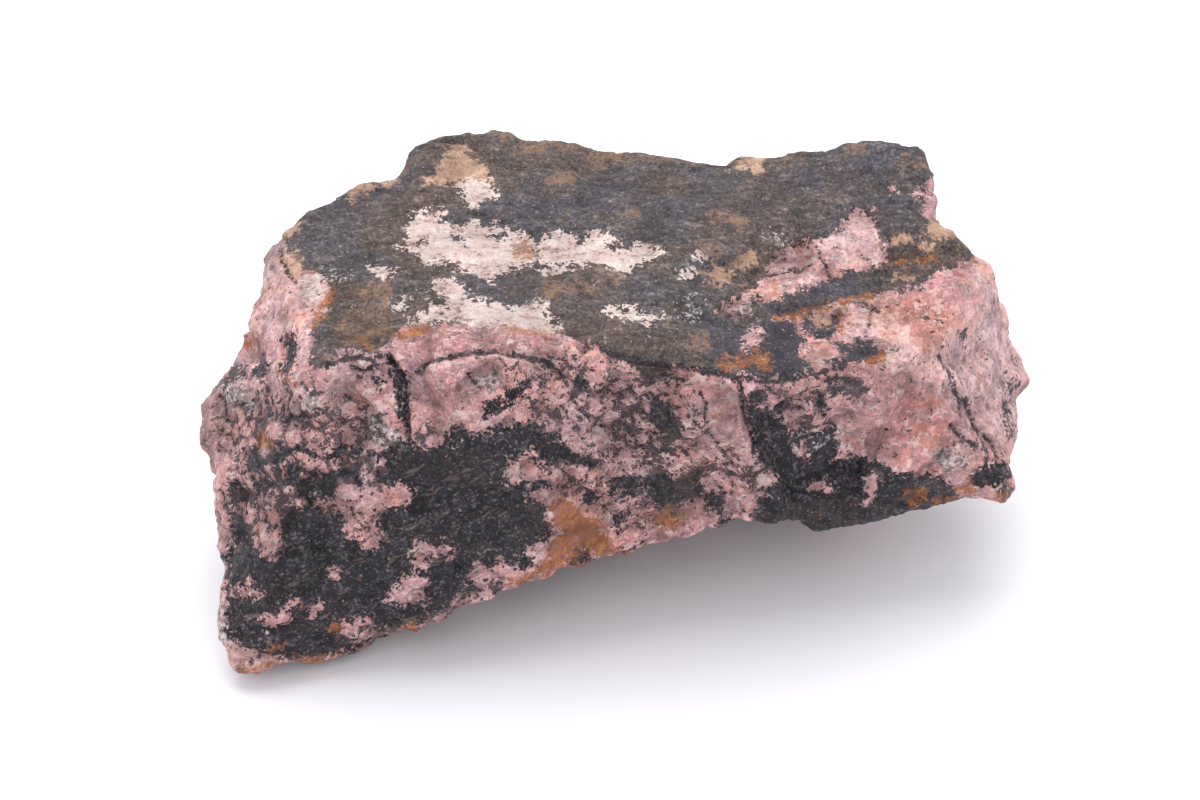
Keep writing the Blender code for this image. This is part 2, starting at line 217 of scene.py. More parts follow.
# Black oxide, and a few patches of painted shadow: middle_shadow and the one under the lip.
OXIDE_AND_PAINTED_SHADOW = {
    "under_stain": "569,553 576,548 584,548 592,555 598,560 588,566 576,569 568,566",
    "rim_black_a": "617,547 628,546 642,541 638,550 626,554 618,557",
    "rim_black_b": "712,512 720,508 725,514 732,520 728,525 718,525 714,518",
    "foliated_dark": "574,378 582,374 589,380 587,388 578,390",
    "lower_dark": "617,478 630,473 640,480 642,491 634,497 623,494 616,486",
    "face_slit": "262,352 266,349 269,358 266,368 262,377 257,379 260,366",
    "face_streak": "285,332 294,331 297,345 295,362 291,378 291,393 285,386 285,360 283,342",
    "skin_corner": "311,334 318,338 320,352 330,358 328,366 313,364 310,350",
    "crevice": "384,350 393,356 402,370 407,385 409,400 411,420 410,441 403,441 400,425 402,405 396,392"
    " 392,375 386,362",
    "block_top": "352,366 362,369 376,366 372,374 362,373",
    "block_eye": "370,376 380,378 386,384 380,389 371,386",
    "corner_one": "245,449 252,446 257,455 268,460 262,469 252,476 246,468 243,458",
    "corner_two": "266,456 276,452 288,445 298,438 307,440 312,450 323,457 311,459 300,452 291,457 280,463"
    " 270,463",
    "arch": "321,480 330,472 345,467 356,470 362,478 357,488 350,479 340,478 334,485 328,491",
    "front_left_a": "300,480 312,476 322,482 330,493 321,499 308,501 300,492",
    "front_left_b": "257,484 270,482 290,480 304,483 301,489 280,488 262,490",
    "front_left_c": "286,463 296,462 304,470 300,479 290,478",
    "left_edge": "232,484 238,479 243,490 243,500 237,506 246,520 250,545 246,565 242,590 226,590 226,560"
    " 232,540 237,525 231,500",
    "front_left": "236,505 246,520 256,545 262,553 275,557 285,549 280,535 282,520 292,510 306,503 318,508"
    " 330,512 342,516 350,531 362,541 364,553 374,549 383,538 376,524 376,512 392,507 408,502 415,490"
    " 400,480 385,490 376,482 372,474 385,470 380,462 386,450 392,440 400,437 412,441 424,446 435,447"
    " 443,440 450,430 456,421 463,423 467,431 480,432 492,430 505,427 517,424 532,424 546,428 556,434"
    " 562,444 575,454 592,458 600,466 590,469 570,461 556,463 546,465 536,460 524,458 512,462 507,470"
    " 512,479 530,483 545,479 552,486 545,491 530,492 527,498 540,503 548,508 550,522 558,534 550,540"
    " 545,548 540,565 530,566 515,568 505,562 498,558 494,571 484,572 474,565 470,578 468,590 458,600"
    " 446,609 434,618 426,624 405,626 388,628 376,624 368,618 355,618 343,622 338,634 352,641 372,642"
    " 360,650 330,656 300,661 286,662 272,656 258,651 246,646 236,640 228,628 226,612 228,590 230,565"
    " 232,540 232,520",
    "wedge": "480,411 484,402 492,397 502,393 514,386 524,381 533,377 530,386 522,393 516,400 505,404"
    " 496,411 487,416",
    "block_base": "318,458 332,450 348,446 362,448 376,452 392,448 404,444 410,452 396,458 380,460 362,458"
    " 346,455 330,462",
    "right_rim": "956,497 975,497 990,501 998,506 990,512 960,510",
    "hidden_corner": "605,484 612,480 617,490 614,500 606,498",
    "right_lower_a": "576,495 585,489 596,492 601,501 592,508 580,504",
    "right_lower_b": "609,515 617,511 626,516 625,528 619,536 613,524",
    "middle_shadow": "647,405 660,399 673,408 682,424 678,436 663,433 650,431 645,418",
    "middle_lower": "644,478 655,469 669,478 685,474 701,480 706,492 691,500 680,507 665,509 652,506 645,492",
    "under_middle": "705,494 714,490 720,500 722,516 714,512",
    "recess_a": "749,392 757,389 765,394 767,400 756,404 750,401",
    "recess_b": "816,391 824,395 833,405 831,415 820,413 815,402",
    "recess_c": "776,404 786,402 790,410 780,416 774,410",
    "right_base": "745,408 760,407 772,415 786,420 791,430 800,425 815,431 831,427 838,434 837,450 834,457"
    " 850,453 862,457 880,462 892,470 905,473 920,473 934,472 944,479 954,484 960,492 958,508 930,516"
    " 900,522 870,530 840,538 812,542 790,534 760,530 751,528 752,508 757,498 770,488 776,478 765,468"
    " 758,458 748,448 752,436 747,420",
    "right_corner": "968,478 976,470 988,468 992,463 1004,462 1013,464 1013,476 1006,484 1014,492 1008,504"
    " 998,506 997,494 990,485 982,487 973,485",
    "riser_mottle": "803,316 812,316 815,326 822,330 831,321 833,310 839,309 841,320 837,332 828,340 815,340"
    " 805,332",
    "lip_front": "748,322 765,317 785,317 793,326 800,336 807,341 800,350 804,361 812,367 828,367 800,374"
    " 785,379 760,379 740,375 722,368 705,352 716,347 728,351 748,350 759,345 760,330 750,328",
    "lip_black": "826,343 842,344 856,339 868,340 880,344 885,352 875,359 862,363 850,367 838,367 833,360"
    " 841,354 836,348",
    # Painted shadow under the lip, drawn in the oxide's black.
    "lip_under_painted_shadow": "778,376 800,371 818,369 830,365 842,366 826,373 806,378 786,381",
    "facet_spot": "957,330 963,329 967,336 962,341",
    "bulge_a": "1006,384 1013,379 1017,384 1011,393 1005,391",
    "bulge_b": "1004,400 1009,402 1008,417 1002,419",
    "bulge_c": "1009,428 1015,426 1014,440 1008,438",
}
ISLANDS = {
    "small_d": "329,572 337,571 338,577 331,578",
    "small_e": "309,618 312,610 318,601 322,603 319,611 314,619",
    "rim_pink": "446,607 452,597 460,590 470,588 478,592 476,600 462,603 452,610",
    "lip_streak": "727,346 735,338 745,334 756,330 758,340 746,346 731,348",
    "lip_patch": "806,343 814,340 822,343 832,350 836,355 829,363 812,365 806,356 809,349",
    "diagonal": "338,512 350,507 362,503 370,507 374,515 373,526 380,538 371,550 363,551 361,540 350,534"
    " 341,523",
    "right_island": "411,557 412,545 418,539 431,545 433,553 426,560 427,569 407,564",
    "beside_right": "437,552 440,545 450,545 453,557 444,556",
    "lower_island": "383,601 390,590 400,582 401,575 412,572 423,577 429,583 420,587 421,593 429,600 429,609"
    " 418,604 400,603",
    "keel_island": "259,622 265,615 275,612 283,606 290,597 298,600 291,610 290,619 280,625 270,627",
    "left_b": "235,586 242,585 243,593 236,594",
    "left_c": "246,581 253,580 253,595 246,596",
    "left_d": "254,590 263,589 264,600 256,601",
    "edge_island": "469,572 474,564 482,566 492,572 498,559 504,562 505,575 515,575 528,569 531,575 518,583"
    " 510,591 500,595 499,581 490,583 488,593 478,595 469,586",
    "below_stain": "532,546 540,540 549,542 551,555 541,566 532,563",
    "small_a": "523,547 532,543 534,550 526,551",
    "wedge_island": "504,471 510,462 520,461 531,466 541,472 534,481 520,483 510,481",
    "small_b": "526,451 534,449 539,455 529,457",
    "right_streak": "864,478 874,475 880,482 876,490 870,498 863,504 868,493 865,485",
    "right_pink": "791,447 797,442 804,449 809,458 800,458",
    "brown_patch": "808,486 815,480 830,483 832,489 818,493 810,491",
}
ROSE = {
    "facet_top": "900,300 912,286 930,278 950,269 968,263 968,282 962,302 952,322 940,340 922,344 908,330"
    " 898,316",
    "band_red": "394,332 408,325 428,327 422,337 406,339",
    "band_red_middle": "482,322 500,325 516,331 500,335",
    "band_red_right": "516,332 538,329 540,344 524,346",
    "band": "396,330 440,326 500,323 545,331 556,342 560,360 520,352 470,349 430,356 404,350 392,342",
    "hollow_facet": "826,420 846,408 862,398 858,378 875,374 902,380 928,389 946,402 957,421 951,440 930,446"
    " 918,452 900,456 880,456 856,452 838,440",
    "facet_rim": "836,372 856,366 880,368 905,376 880,382 852,380",
    "red_spot": "461,391 475,387 485,392 487,402 481,413 468,414 461,405",
    "block_rose": "352,384 372,381 392,388 392,400 372,404 354,400",
    "ridge_rose": "299,366 314,363 320,376 312,388 298,384",
    "diagonal_rose": "342,508 356,500 372,512 372,530 356,530 346,520",
    "small_rose_a": "598,402 606,398 613,404 611,415 601,415",
    "small_rose_b": "680,448 690,443 697,450 693,459 682,458",
    "small_rose_c": "622,446 634,446 642,456 634,462 624,456",
    "recess_rose": "768,388 782,378 800,384 802,398 784,404 770,398",
    "lower_rose": "682,520 700,514 714,518 708,530 688,532",
    "lower_rose_left": "626,514 642,508 662,506 684,512 690,524 672,534 648,540 630,536",
    "block_face": "426,384 446,372 462,384 460,404 448,424 432,424 424,404",
}
PALE = {
    "far_right": "968,300 1004,290 1030,330 1036,420 1016,440 1000,400 976,366 966,330",
    "facet_ridge": "882,363 900,367 917,377 935,389 951,401 945,409 928,399 910,387 893,377 879,371",
    "right_facet": "880,296 902,291 930,281 945,269 962,264 980,250 1004,260 1046,380 1034,470 1006,470"
    " 996,440 978,405 960,404 945,396 928,384 905,372 884,362 887,346 872,338 848,342 846,314 868,300",
    "upper_scar": "818,242 838,230 845,214 862,208 872,216 878,236 883,252 878,264 846,266 836,262 826,256",
    "left_face": "262,262 276,244 290,262 300,282 304,310 312,326 312,350 300,372 288,360 284,334 268,340"
    " 256,330",
    "tip": "222,640 240,646 262,656 250,672 232,672",
}
ISLAND_KINDS = {"skin": BARE, "cream": CREAM_HOLES, "oxide": ISLANDS}
PATCHES = {
    "skin": SKIN,
    "cream": CREAM,
    "ochre": OCHRE,
    "tan": TAN,
    "peach": PEACH,
    "ash": ASH,
    "oxide": OXIDE_AND_PAINTED_SHADOW,
    "rose": ROSE,
    "pale": PALE,
}

# Thin dark lines and cracks, some of them painted shadow under the lip: width in pixels, depth in
# millimetres, and the places that they pass.
LINES = {
    # Painted shadow along the lip's lower edge, with a shallow crack.
    "lip_edge_painted_shadow": (
        6.0, 0.3, "600,349 620,356 645,363 675,367 705,370 730,377 760,381 785,379 805,375 830,369 846,366"
    ),
    "arched_line": (
        4.8, 0.35, "417,374 425,365 440,359 455,356 472,352 500,352 520,356 545,362 560,372 568,386 571,398"
    ),
    "block_line": (5.0, 0.25, "331,365 345,358 360,357 374,361 384,355"),
    "arch_tail": (4.2, 0.25, "571,396 578,408 588,416"),
    "crevice_floor": (5.0, 0.6, "388,356 396,366 402,380 405,400 407,420 408,440"),
    "recess_crack": (4.8, 0.7, "740,380 742,398 745,414 750,430 754,442"),
    "lump_line": (2.6, 0.2, "467,372 474,383 482,388"),
    "lump_side": (2.4, 0.2, "500,357 506,368 509,379 506,387"),
    "ridge_dark": (2.6, 0.2, "279,250 283,262 289,275 296,283"),
    "scar_line": (2.4, 0.25, "816,248 822,260 829,272 832,279"),
    "scar_streak": (3.0, 0.2, "768,276 783,274 802,268 814,262"),
    "riser_line": (2.6, 0.2, "850,302 862,302 872,306 879,311"),
    "riser_down": (2.2, 0.2, "872,306 870,320 866,332 863,341"),
    "facet_a": (2.0, 0.15, "917,300 921,311 926,320"),
    "facet_b": (2.0, 0.1, "927,318 936,321 943,324"),
    "facet_long": (3.2, 0.35, "939,356 944,366 950,379 956,393 961,402 962,416"),
    "facet_long_wide": (4.6, 0.3, "944,366 950,379 957,393 962,400"),
    "facet_low": (3.0, 0.25, "951,425 958,434 967,441 974,446"),
    "facet_side": (3.6, 0.3, "966,398 972,414 976,430 981,443 987,453 986,466"),
    "facet_end": (2.6, 0.25, "984,434 992,441 996,451 996,461 1001,469"),
    "lip_shadow": (2.6, 0.2, "616,353 630,362 644,374 656,388"),
    "fold_a": (2.4, 0.2, "644,372 655,385 662,396 672,404"),
    "fold_b": (2.4, 0.2, "688,416 698,426 712,438 722,450 734,466"),
    "fold_c": (2.2, 0.2, "700,392 707,406 705,420 708,432"),
    "fold_d": (2.2, 0.15, "600,384 612,396 620,410 628,428"),
    "fold_e": (2.2, 0.15, "560,404 572,424 586,444 604,456"),
    "left_a": (2.0, 0.15, "222,490 226,504 230,518 234,530"),
    "left_b": (1.8, 0.15, "236,440 240,456 239,470 236,482"),
    "left_c": (1.8, 0.1, "266,400 264,424 258,440"),
    "keel_line": (2.2, 0.15, "366,622 380,630 400,633 418,626"),
}

# Nudges that bring the stone's outline to the picture's: middle, reach and shift (across, down), in pixels.
NUDGES = (
    (436, 148, 54, -3, -11),
    (464, 135, 24, -1, -4),
    (506, 134, 22, 0, -3),
    (604, 152, 50, 0, 10),
    (640, 158, 24, 0, 4),
    (675, 160, 34, 0, -5),
    (725, 166, 30, 0, 6),
    (775, 157, 44, 0, 6),
    (846, 146, 18, 0, -3),
    (873, 142, 30, 0, 1),
    (915, 155, 38, 6, -7),
    (935, 190, 28, 5, 0),
    (947, 222, 26, -5, 3),
    (398, 168, 30, 7, 6),
    (300, 216, 42, -4, -6),
    (270, 250, 30, -6, -2),
    (244, 352, 26, 4, 1),
    (226, 372, 24, 3, 2),
    (257, 318, 34, -7, 0),
    (208, 445, 36, -8, 0),
    (226, 503, 28, -7, 0),
    (222, 560, 36, 7, 0),
    (219, 606, 26, -5, 0),
    (228, 668, 26, -4, 3),
    (1018, 405, 34, -11, -2),
    (1010, 430, 24, 3, 0),
    (1008, 341, 22, -3, 0),
    (1006, 496, 26, 3, 10),
    (925, 508, 40, 0, 6),
    (786, 522, 34, 0, 6),
    (1001, 305, 36, 5, 0),
    (286, 668, 22, 0, -5),
    (380, 646, 20, 0, -6),
    (423, 614, 32, 0, 14),
    (442, 611, 14, 0, 3),
    (470, 600, 26, 0, -3),
    (503, 602, 26, 0, -9),
    (574, 559, 18, 0, 8),
    (616, 558, 26, 0, -6),
    (657, 548, 28, 0, -7),
    (676, 546, 12, 0, -5),
    (685, 529, 16, 0, 7),
    (737, 528, 28, 0, -8),
    (803, 531, 13, 3, -5),
    (216, 474, 24, -11, 0),
    (219, 628, 26, -4, 0),
)

# A step in the lower edge that the picture does not have: middle and reach in pixels, and the passes that
# level it.
LEVELLED_STEP = (804, 524, 32, 50)

# Soft ovals: middle, half sizes and turn in pixels and degrees, and the strength in the middle.
SPECKLE = (
    (228, 375, 26, 16, 0, 0.9),
    (232, 425, 26, 40, 0, 0.55),
    (275, 430, 40, 50, 0, 0.7),
    (335, 430, 56, 38, 0, 0.6),
    (290, 490, 60, 34, 0, 0.85),
    (230, 520, 14, 40, 0, 0.6),
    (355, 470, 50, 24, 0, 0.6),
    (535, 370, 40, 22, 0, 0.5),
    (600, 400, 60, 50, 40, 0.62),
    (650, 430, 60, 52, 45, 0.75),
    (585, 470, 60, 30, 0, 0.55),
    (715, 480, 30, 40, 30, 0.65),
    (790, 395, 50, 22, 0, 0.5),
    (715, 310, 36, 22, 0, 0.5),
    (965, 445, 24, 16, 20, 0.4),
    (640, 510, 50, 24, 0, 0.45),
    (450, 600, 60, 20, -20, 0.5),
    (800, 322, 30, 12, 0, 0.4),
    (735, 505, 34, 16, 0, 0.3),
    (752, 478, 26, 20, 0, 0.8),
    (365, 510, 26, 40, -30, 0.5),
    (845, 386, 24, 14, 0, 0.9),
    (495, 586, 8, 8, 0, 1.6),
    (424, 434, 16, 12, -30, 0.6),
    (310, 394, 20, 20, 0, 0.55),
    (540, 415, 36, 26, 30, 0.6),
    # Painted shade below the lip, with its dark speckle.
    (650, 376, 50, 16, 12, 0.75),
    (575, 368, 26, 20, 0, 0.7),
    (815, 420, 24, 14, 0, 0.6),
    (265, 530, 30, 40, 0, 0.5),
    (252, 650, 30, 16, 0, 0.4),
    (370, 630, 50, 12, -12, 0.6),
)
RUST = (
    (470, 470, 50, 20, 0, 0.4),
    (440, 540, 50, 24, 0, 0.3),
    (530, 520, 36, 24, 0, 0.4),
    (246, 515, 10, 24, 0, 0.8),
    (670, 430, 22, 20, 0, 0.7),
    (830, 512, 60, 14, -8, 0.8),
    (690, 492, 26, 20, 0, 0.7),
    (940, 492, 36, 12, 0, 0.6),
    (300, 600, 60, 30, 0, 0.2),
)
PALE_SPECKS = (
    (335, 275, 34, 12, 0, 0.8),
    (400, 302, 26, 14, -20, 0.75),
    (430, 290, 16, 14, 0, 0.7),
    (355, 312, 12, 14, 0, 0.6),
    (382, 325, 12, 12, 0, 0.6),
    (775, 240, 24, 12, 20, 0.85),
    (692, 304, 22, 14, 0, 0.8),
    (620, 335, 60, 14, 0, 0.5),
    (660, 318, 50, 10, 0, 0.6),
    (800, 340, 40, 16, 0, 0.7),
    (742, 300, 20, 26, 0, 0.5),
    (815, 440, 22, 16, 0, 0.9),
    (455, 446, 22, 10, 0, 0.7),
    (500, 440, 20, 10, 0, 0.5),
    (270, 500, 40, 24, 0, 0.5),
    (590, 285, 40, 12, 0, 0.4),
    (690, 314, 22, 12, 0, 0.9),
)
FOLDED = (
    (600, 405, 50, 40, 45, 0.9),
    (655, 430, 70, 40, 50, 1.0),
    (720, 470, 40, 34, 50, 1.0),
    (535, 380, 30, 30, 0, 0.6),
)
RISING = (
    (400, 545, 150, 70, -22, 1.0),
    (480, 460, 90, 40, -18, 1.0),
    (300, 460, 60, 30, -30, 1.0),
)
COOL = (
    (885, 195, 60, 60, 0, 1.0),
    (780, 195, 80, 40, 0, 0.6),
    (800, 342, 90, 34, 0, 1.0),
    (860, 285, 60, 16, -10, 0.8),
    (815, 442, 26, 14, 0, 0.8),
    (560, 200, 70, 24, 0, 0.4),
)
SOFT_PATCHES = {
    "speckle": SPECKLE,
    "rust": RUST,
    "pale_specks": PALE_SPECKS,
    "folded": FOLDED,
    "rising": RISING,
    "cool": COOL,
}

# What noise gives the sides that the camera does not see. For patches: the size in millimetres and the amount
# of a broad and a fine noise, the reach of the field in millimetres, and an offset between -1 and 1.
HIDDEN_PATCHES = {
    "oxide": ((10.0, 1.0), (3.5, 0.5), 7.0, -0.02),
    "cream": ((6.0, 1.0), (2.5, 0.5), 7.0, -0.62),
    "ochre": ((6.0, 1.0), (2.0, 0.5), 5.0, -0.42),
    "tan": ((9.0, 1.0), (3.0, 0.5), 5.0, -0.32),
    "peach": ((7.0, 1.0), (2.5, 0.5), 6.0, -0.6),
    "ash": ((5.0, 1.0), (2.0, 0.6), 6.0, -0.45),
    "rose": ((8.0, 1.0), (3.0, 0.5), 6.0, -0.14),
    "pale": ((13.0, 1.0), (4.0, 0.4), 7.0, -0.02),
}
# For soft fields: the noise's size in millimetres, and the middle and spread of the strength.
HIDDEN_SOFT = {
    "speckle": (8.0, 0.42, 0.5),
    "rust": (9.0, 0.3, 0.6),
    "pale_specks": (7.0, 0.2, 0.6),
    "folded": (14.0, 0.2, 0.7),
    "rising": (15.0, 0.2, 0.7),
    "cool": (12.0, 0.2, 0.7),
}
# How far apart the noises of two kinds of patches are taken, so that they differ.
NOISE_STEP = Vector((17.3, 41.7, 9.1))
# The height that the weathered skin reaches down to on the hidden sides, and its wander, in millimetres.
SKIN_WRAP_HEIGHT, SKIN_WRAP_WANDER = 38.5, 5.0
# How far behind the seen skin a place begins to count as hidden, and counts in full, in millimetres.
BEHIND_STARTS, BEHIND_FULL = 1.2, 4.0
# The heights above the resting face between which relief and nudges set in, in millimetres.
BASE_HEIGHTS = (0.3, 1.5)

# The way across the rock's grain, and its ledges: how far apart, how steep and how high, and their waves.
GRAIN_NORMAL = Vector((-0.12, 0.98, -0.10)).normalized()
LEDGE_SPACING, LEDGE_RISE, LEDGE_HEIGHT = 1.9, 0.25, 0.25
LEDGE_WAVES = ((5.0, 1.6), (1.6, 0.3))
# Facets and fine noise of broken rock and of oxide: size and height of each layer, in millimetres.
BROKEN_FACETS, BROKEN_GRAIN = ((4.6, 0.34), (2.2, 0.3)), (0.9, 0.08)
OXIDE_FACETS, OXIDE_GRAIN = ((3.2, 0.36), (1.5, 0.32)), (0.8, 0.08)
# The old skin's rolls, its rolls drawn out along the stone, its grain and its flakes, in millimetres.
SKIN_ROLL, SKIN_LONG_ROLL, SKIN_GRAIN = (5.0, 0.5), ((4.0, 1.3), 0.22), (0.8, 0.06)
FLAKE_SIZE, FLAKE_STEPS, FLAKE_RISE, FLAKE_HEIGHT = (7.0, 3.0), 3.0, 0.12, 0.3
# Seams between lumps of rock: how far apart, how wide and how deep, and how they bend, in millimetres.
SEAM_SIZE, SEAM_WIDTH, SEAM_DEPTH = 2.6, 0.6, 0.38
SEAM_BEND, SEAM_BEND_SIZE = 1.3, 2.4
# The noise that bends the seams takes a seed, and with a fixed one each run gives the same stone.
NOISE_SEED = 7
# How much smoother pale rock and cream are, as shares, and how much lower cream lies, in millimetres.
PALE_SMOOTHNESS, CREAM_SMOOTHNESS, CREAM_SUNK = 0.35, 0.5, 0.08
# Anything lower than this, in millimetres, is pressed flat onto the table.
TABLE_REACH = 0.06
# How far a vertex has to lie outside and inside a patch to have none and all of its relief, in millimetres.
RELIEF_EDGES = {"skin": (-0.2, 0.5), "oxide": (-0.2, 0.6), "pale": (-0.5, 1.0), "cream": (-0.2, 0.5)}
# How much the skin faces the camera, from and to, and the share of the thinning that it is then spared.
SPARED_FACING, SPARED_SHARE = (-0.15, 0.1), 0.95

# How each kind of patch frays: the swing that coarse, middle and fine noise give its edge, how far the edge
# can reach, and its softness, all in millimetres.
PATCH_EDGES = {
    "skin": (1.8, 3.4, 2.2, 1.6, 0.16),
    "cream": (1.8, 4.0, 2.6, 1.3, 0.15),
    "peach": (4.0, 4.0, 2.0, 2.0, 0.4),
    "ash": (3.0, 4.0, 2.5, 1.5, 0.25),
    "oxide": (2.2, 4.0, 2.8, 1.05, 0.22),
    "lines": (0.5, 1.1, 1.2, 0.4, 0.12),
    "ochre": (2.4, 3.6, 2.4, 1.5, 0.4),
    "tan": (4.0, 4.5, 2.0, 1.7, 0.5),
    "pale": (5.0, 5.0, 2.0, 1.8, 0.9),
}

# Where a value starts and stops to count, what it gives at each end, and "LINEAR" where that isn't eased.
LEVELS = {
    "rose": (-1.4, 1.2, 0.0, 0.95),
    "rock_rust": (0.46, 0.38, 0.0, 0.6),
    "rock_grey": (0.52, 0.62, 0.0, 0.6),
    "rock_shade": (0.38, 0.62, 0.68, 1.3, "LINEAR"),
    "grain_shade": (0.0, 1.0, 0.65, 1.35, "LINEAR"),
    "light_grains": (0.84, 0.90, 0.0, 0.38),
    "dark_grains": (0.17, 0.11, 0.0, 0.34),
    "light_flecks": (0.555, 0.66, 0.0, 0.44),
    "dark_flecks": (0.42, 0.34, 0.0, 0.36),
    "calm_where_pale": (0.0, 1.0, 1.0, 0.15),
    "light_streaks": (0.42, 0.34, 0.0, 0.45),
    "dark_streaks": (0.575, 0.65, 0.0, 0.48),
    "skin_brown": (0.58, 0.68, 0.0, 0.6),
    "skin_grit": (0.59, 0.68, 0.0, 0.5),
    "skin_shade": (0.34, 0.66, 0.5, 1.45, "LINEAR"),
    "cream_peach": (0.56, 0.64, 0.0, 0.5),
    "cream_lines": (0.59, 0.66, 0.0, 0.5),
    "oxide_rust": (0.46, 0.58, 0.1, 0.9),
    "oxide_wisps": (0.42, 0.34, 0.0, 0.7),
    "oxide_sparks": (0.59, 0.68, 0.0, 0.75),
    "streak_way": (0.3, 0.5),
    "pale": (0.0, 1.0, 0.0, 0.9, "LINEAR"),
    "seam_width": (0.0, 1.0, 0.92, 1.32, "LINEAR"),
    "seams": (0.08, -0.04, 0.0, 0.95),
    "speckle_level": (0.0, 1.0, 0.63, 0.495, "LINEAR"),
    "speckles": (-0.012, 0.014),
    "speckle_black": (0.42, 0.58),
    "pale_speck_level": (0.0, 1.0, 0.76, 0.5, "LINEAR"),
    "pale_specks": (0.0, 0.04, 0.0, 0.85),
    "ochre_strength": (0.40, 0.55, 0.65, 1.0),
    "tan_strength": (0.42, 0.56, 0.1, 0.8),
    # Painted shade and light: low places of the relief darker, high places lighter.
    "relief_painted_shade": (-0.5, 0.4, 0.55, 1.15),
    "oxide_roughness": (0.0, 1.0, 0.68, 0.5, "LINEAR"),
    "fine_roughness": (0.3, 0.7, -0.14, 0.14, "LINEAR"),
}
# Shares of a few layers: the grains' own tones, the dusk in speckles, dark lines and the oxide's violet.
GRAIN_CONTRAST, SPECKLE_DUSK, LINE_STRENGTH, VIOLET_STRENGTH = 0.4, 0.34, 0.9, 0.6
# The stone's specular level.
SHEEN = 0.28

# The stone's noises: size in millimetres, detail and roughness.
COARSE_NOISE, MIDDLE_NOISE, FINE_NOISE = (2.6, 4.0, 0.6), (1.1, 4.0, 0.68), (0.42, 2.0, 0.6)
BROAD_NOISE = (8.0, 2.0, 0.5)
# The bump of the finest grain: the height of fine and middle noise, in millimetres.
FINE_BUMP, MIDDLE_BUMP = 0.24, 0.42

# Streaks: how far they bend, the turn of their long axis in radians, and their size along each axis in
# millimetres. Grains bend too.
STREAK_BEND, STREAK_BEND_SCALE, GRAIN_BEND = 1.5, 0.17, 1.3
TOP_STREAKS = (0.0, 0.0, 0.12), (3.0, 0.9, 0.9)
BEDDING = (0.05, 0.0, 0.12), (4.0, 0.6, 4.0)
FOLDS = (0.0, 0.85, 0.1), (3.4, 0.6, 0.6)
RISES = (0.0, -0.5, 0.1), (3.6, 0.65, 0.65)

# Colours that belong to one finish only.
FLECK_COLOUR = (0.70, 0.57, 0.51)
DUSKY_COLOUR = (0.21, 0.135, 0.13)
GAP_COLOUR = (0.085, 0.058, 0.060)
SALMON_COLOUR = (0.42, 0.20, 0.145)
NO_TINT = (1.0, 1.0, 1.0)
SALMON_TINT, MAUVE_TINT = (1.08, 0.97, 0.87), (0.93, 0.97, 1.02)
WARM_TINT, COOL_TINT = (1.12, 1.0, 0.88), (0.92, 0.97, 1.1)
SKIN_LIGHT, SKIN_BROWN, SKIN_GRIT = (0.17, 0.132, 0.115), (0.15, 0.095, 0.065), (0.27, 0.235, 0.215)
CREAM_PINK, CREAM_STAIN, CREAM_LIGHT = (0.60, 0.44, 0.40), (0.25, 0.18, 0.155), (0.72, 0.64, 0.59)
PEACH_COLOUR = (0.42, 0.265, 0.19)
OCHRE_DARK, OCHRE_LIGHT = (0.13, 0.045, 0.022), (0.48, 0.22, 0.085)
WISP_COLOUR, RUST_COLOUR, SPARK_COLOUR = (0.15, 0.108, 0.104), (0.05, 0.032, 0.024), (0.19, 0.155, 0.155)
SPECK_COLOUR = (0.45, 0.41, 0.40)
SKIN_COOL_TINT, VIOLET_COLOUR = (0.88, 0.94, 1.1), (0.062, 0.054, 0.068)

# The studio: each light's place, size and colour, in metres, and the point that both look at.
KEY_LIGHT = (-0.04, 0.26, 0.95), 0.9, (1.0, 0.99, 0.97)
FILL_LIGHT = (-0.2, -0.68, 0.68), 0.6, (0.98, 0.99, 1.0)
LIGHT_TARGET = (0.0, 0.0, 0.02)
SURROUND_COLOUR = (0.95, 0.955, 1.0)


def colour_setting(name, description, default):
    return FloatVectorProperty(name=name, description=description, subtype="COLOR", default=default)


class StoneSettings(bpy.types.PropertyGroup):
    """Sizes and colours of the visible stone."""

    skin_voxel: FloatProperty(
        name="Skin spacing",
        description="Distance between the points of the stone's skin",
        default=0.00041,
        unit="LENGTH",
    )
    triangles: IntProperty(
        name="Triangles", description="Most triangles that the stone keeps", default=194000
    )
    smoothing: IntProperty(name="Smoothing", description="Passes that soften the solid's facets", default=8)
    relief: FloatProperty(name="Relief", description="Share of the fine relief that is used", default=1.0)
    grain_size: FloatProperty(
        name="Grain size", description="Size of the crystal grains, in millimetres", default=0.8
    )
    pink: colour_setting("Pink", "Middle colour of the rhodonite", (0.50, 0.265, 0.262))
    light_pink: colour_setting("Light pink", "Fresh, pale rhodonite", (0.64, 0.385, 0.372))
    deep_rose: colour_setting("Deep rose", "The strongest rhodonite", (0.44, 0.20, 0.19))
    ash: colour_setting("Grey", "Greyish silica between the grains", (0.28, 0.225, 0.215))
    oxide: colour_setting("Oxide", "Black manganese oxide", (0.014, 0.0125, 0.0165))
    skin: colour_setting("Skin", "Weathered grey-brown skin", (0.086, 0.071, 0.071))
    cream: colour_setting("Cream", "Cream patches of the top", (0.60, 0.485, 0.44))
    ochre: colour_setting("Ochre", "Iron stain", (0.275, 0.088, 0.034))
    tan: colour_setting("Tan", "Faint stain", (0.24, 0.145, 0.09))


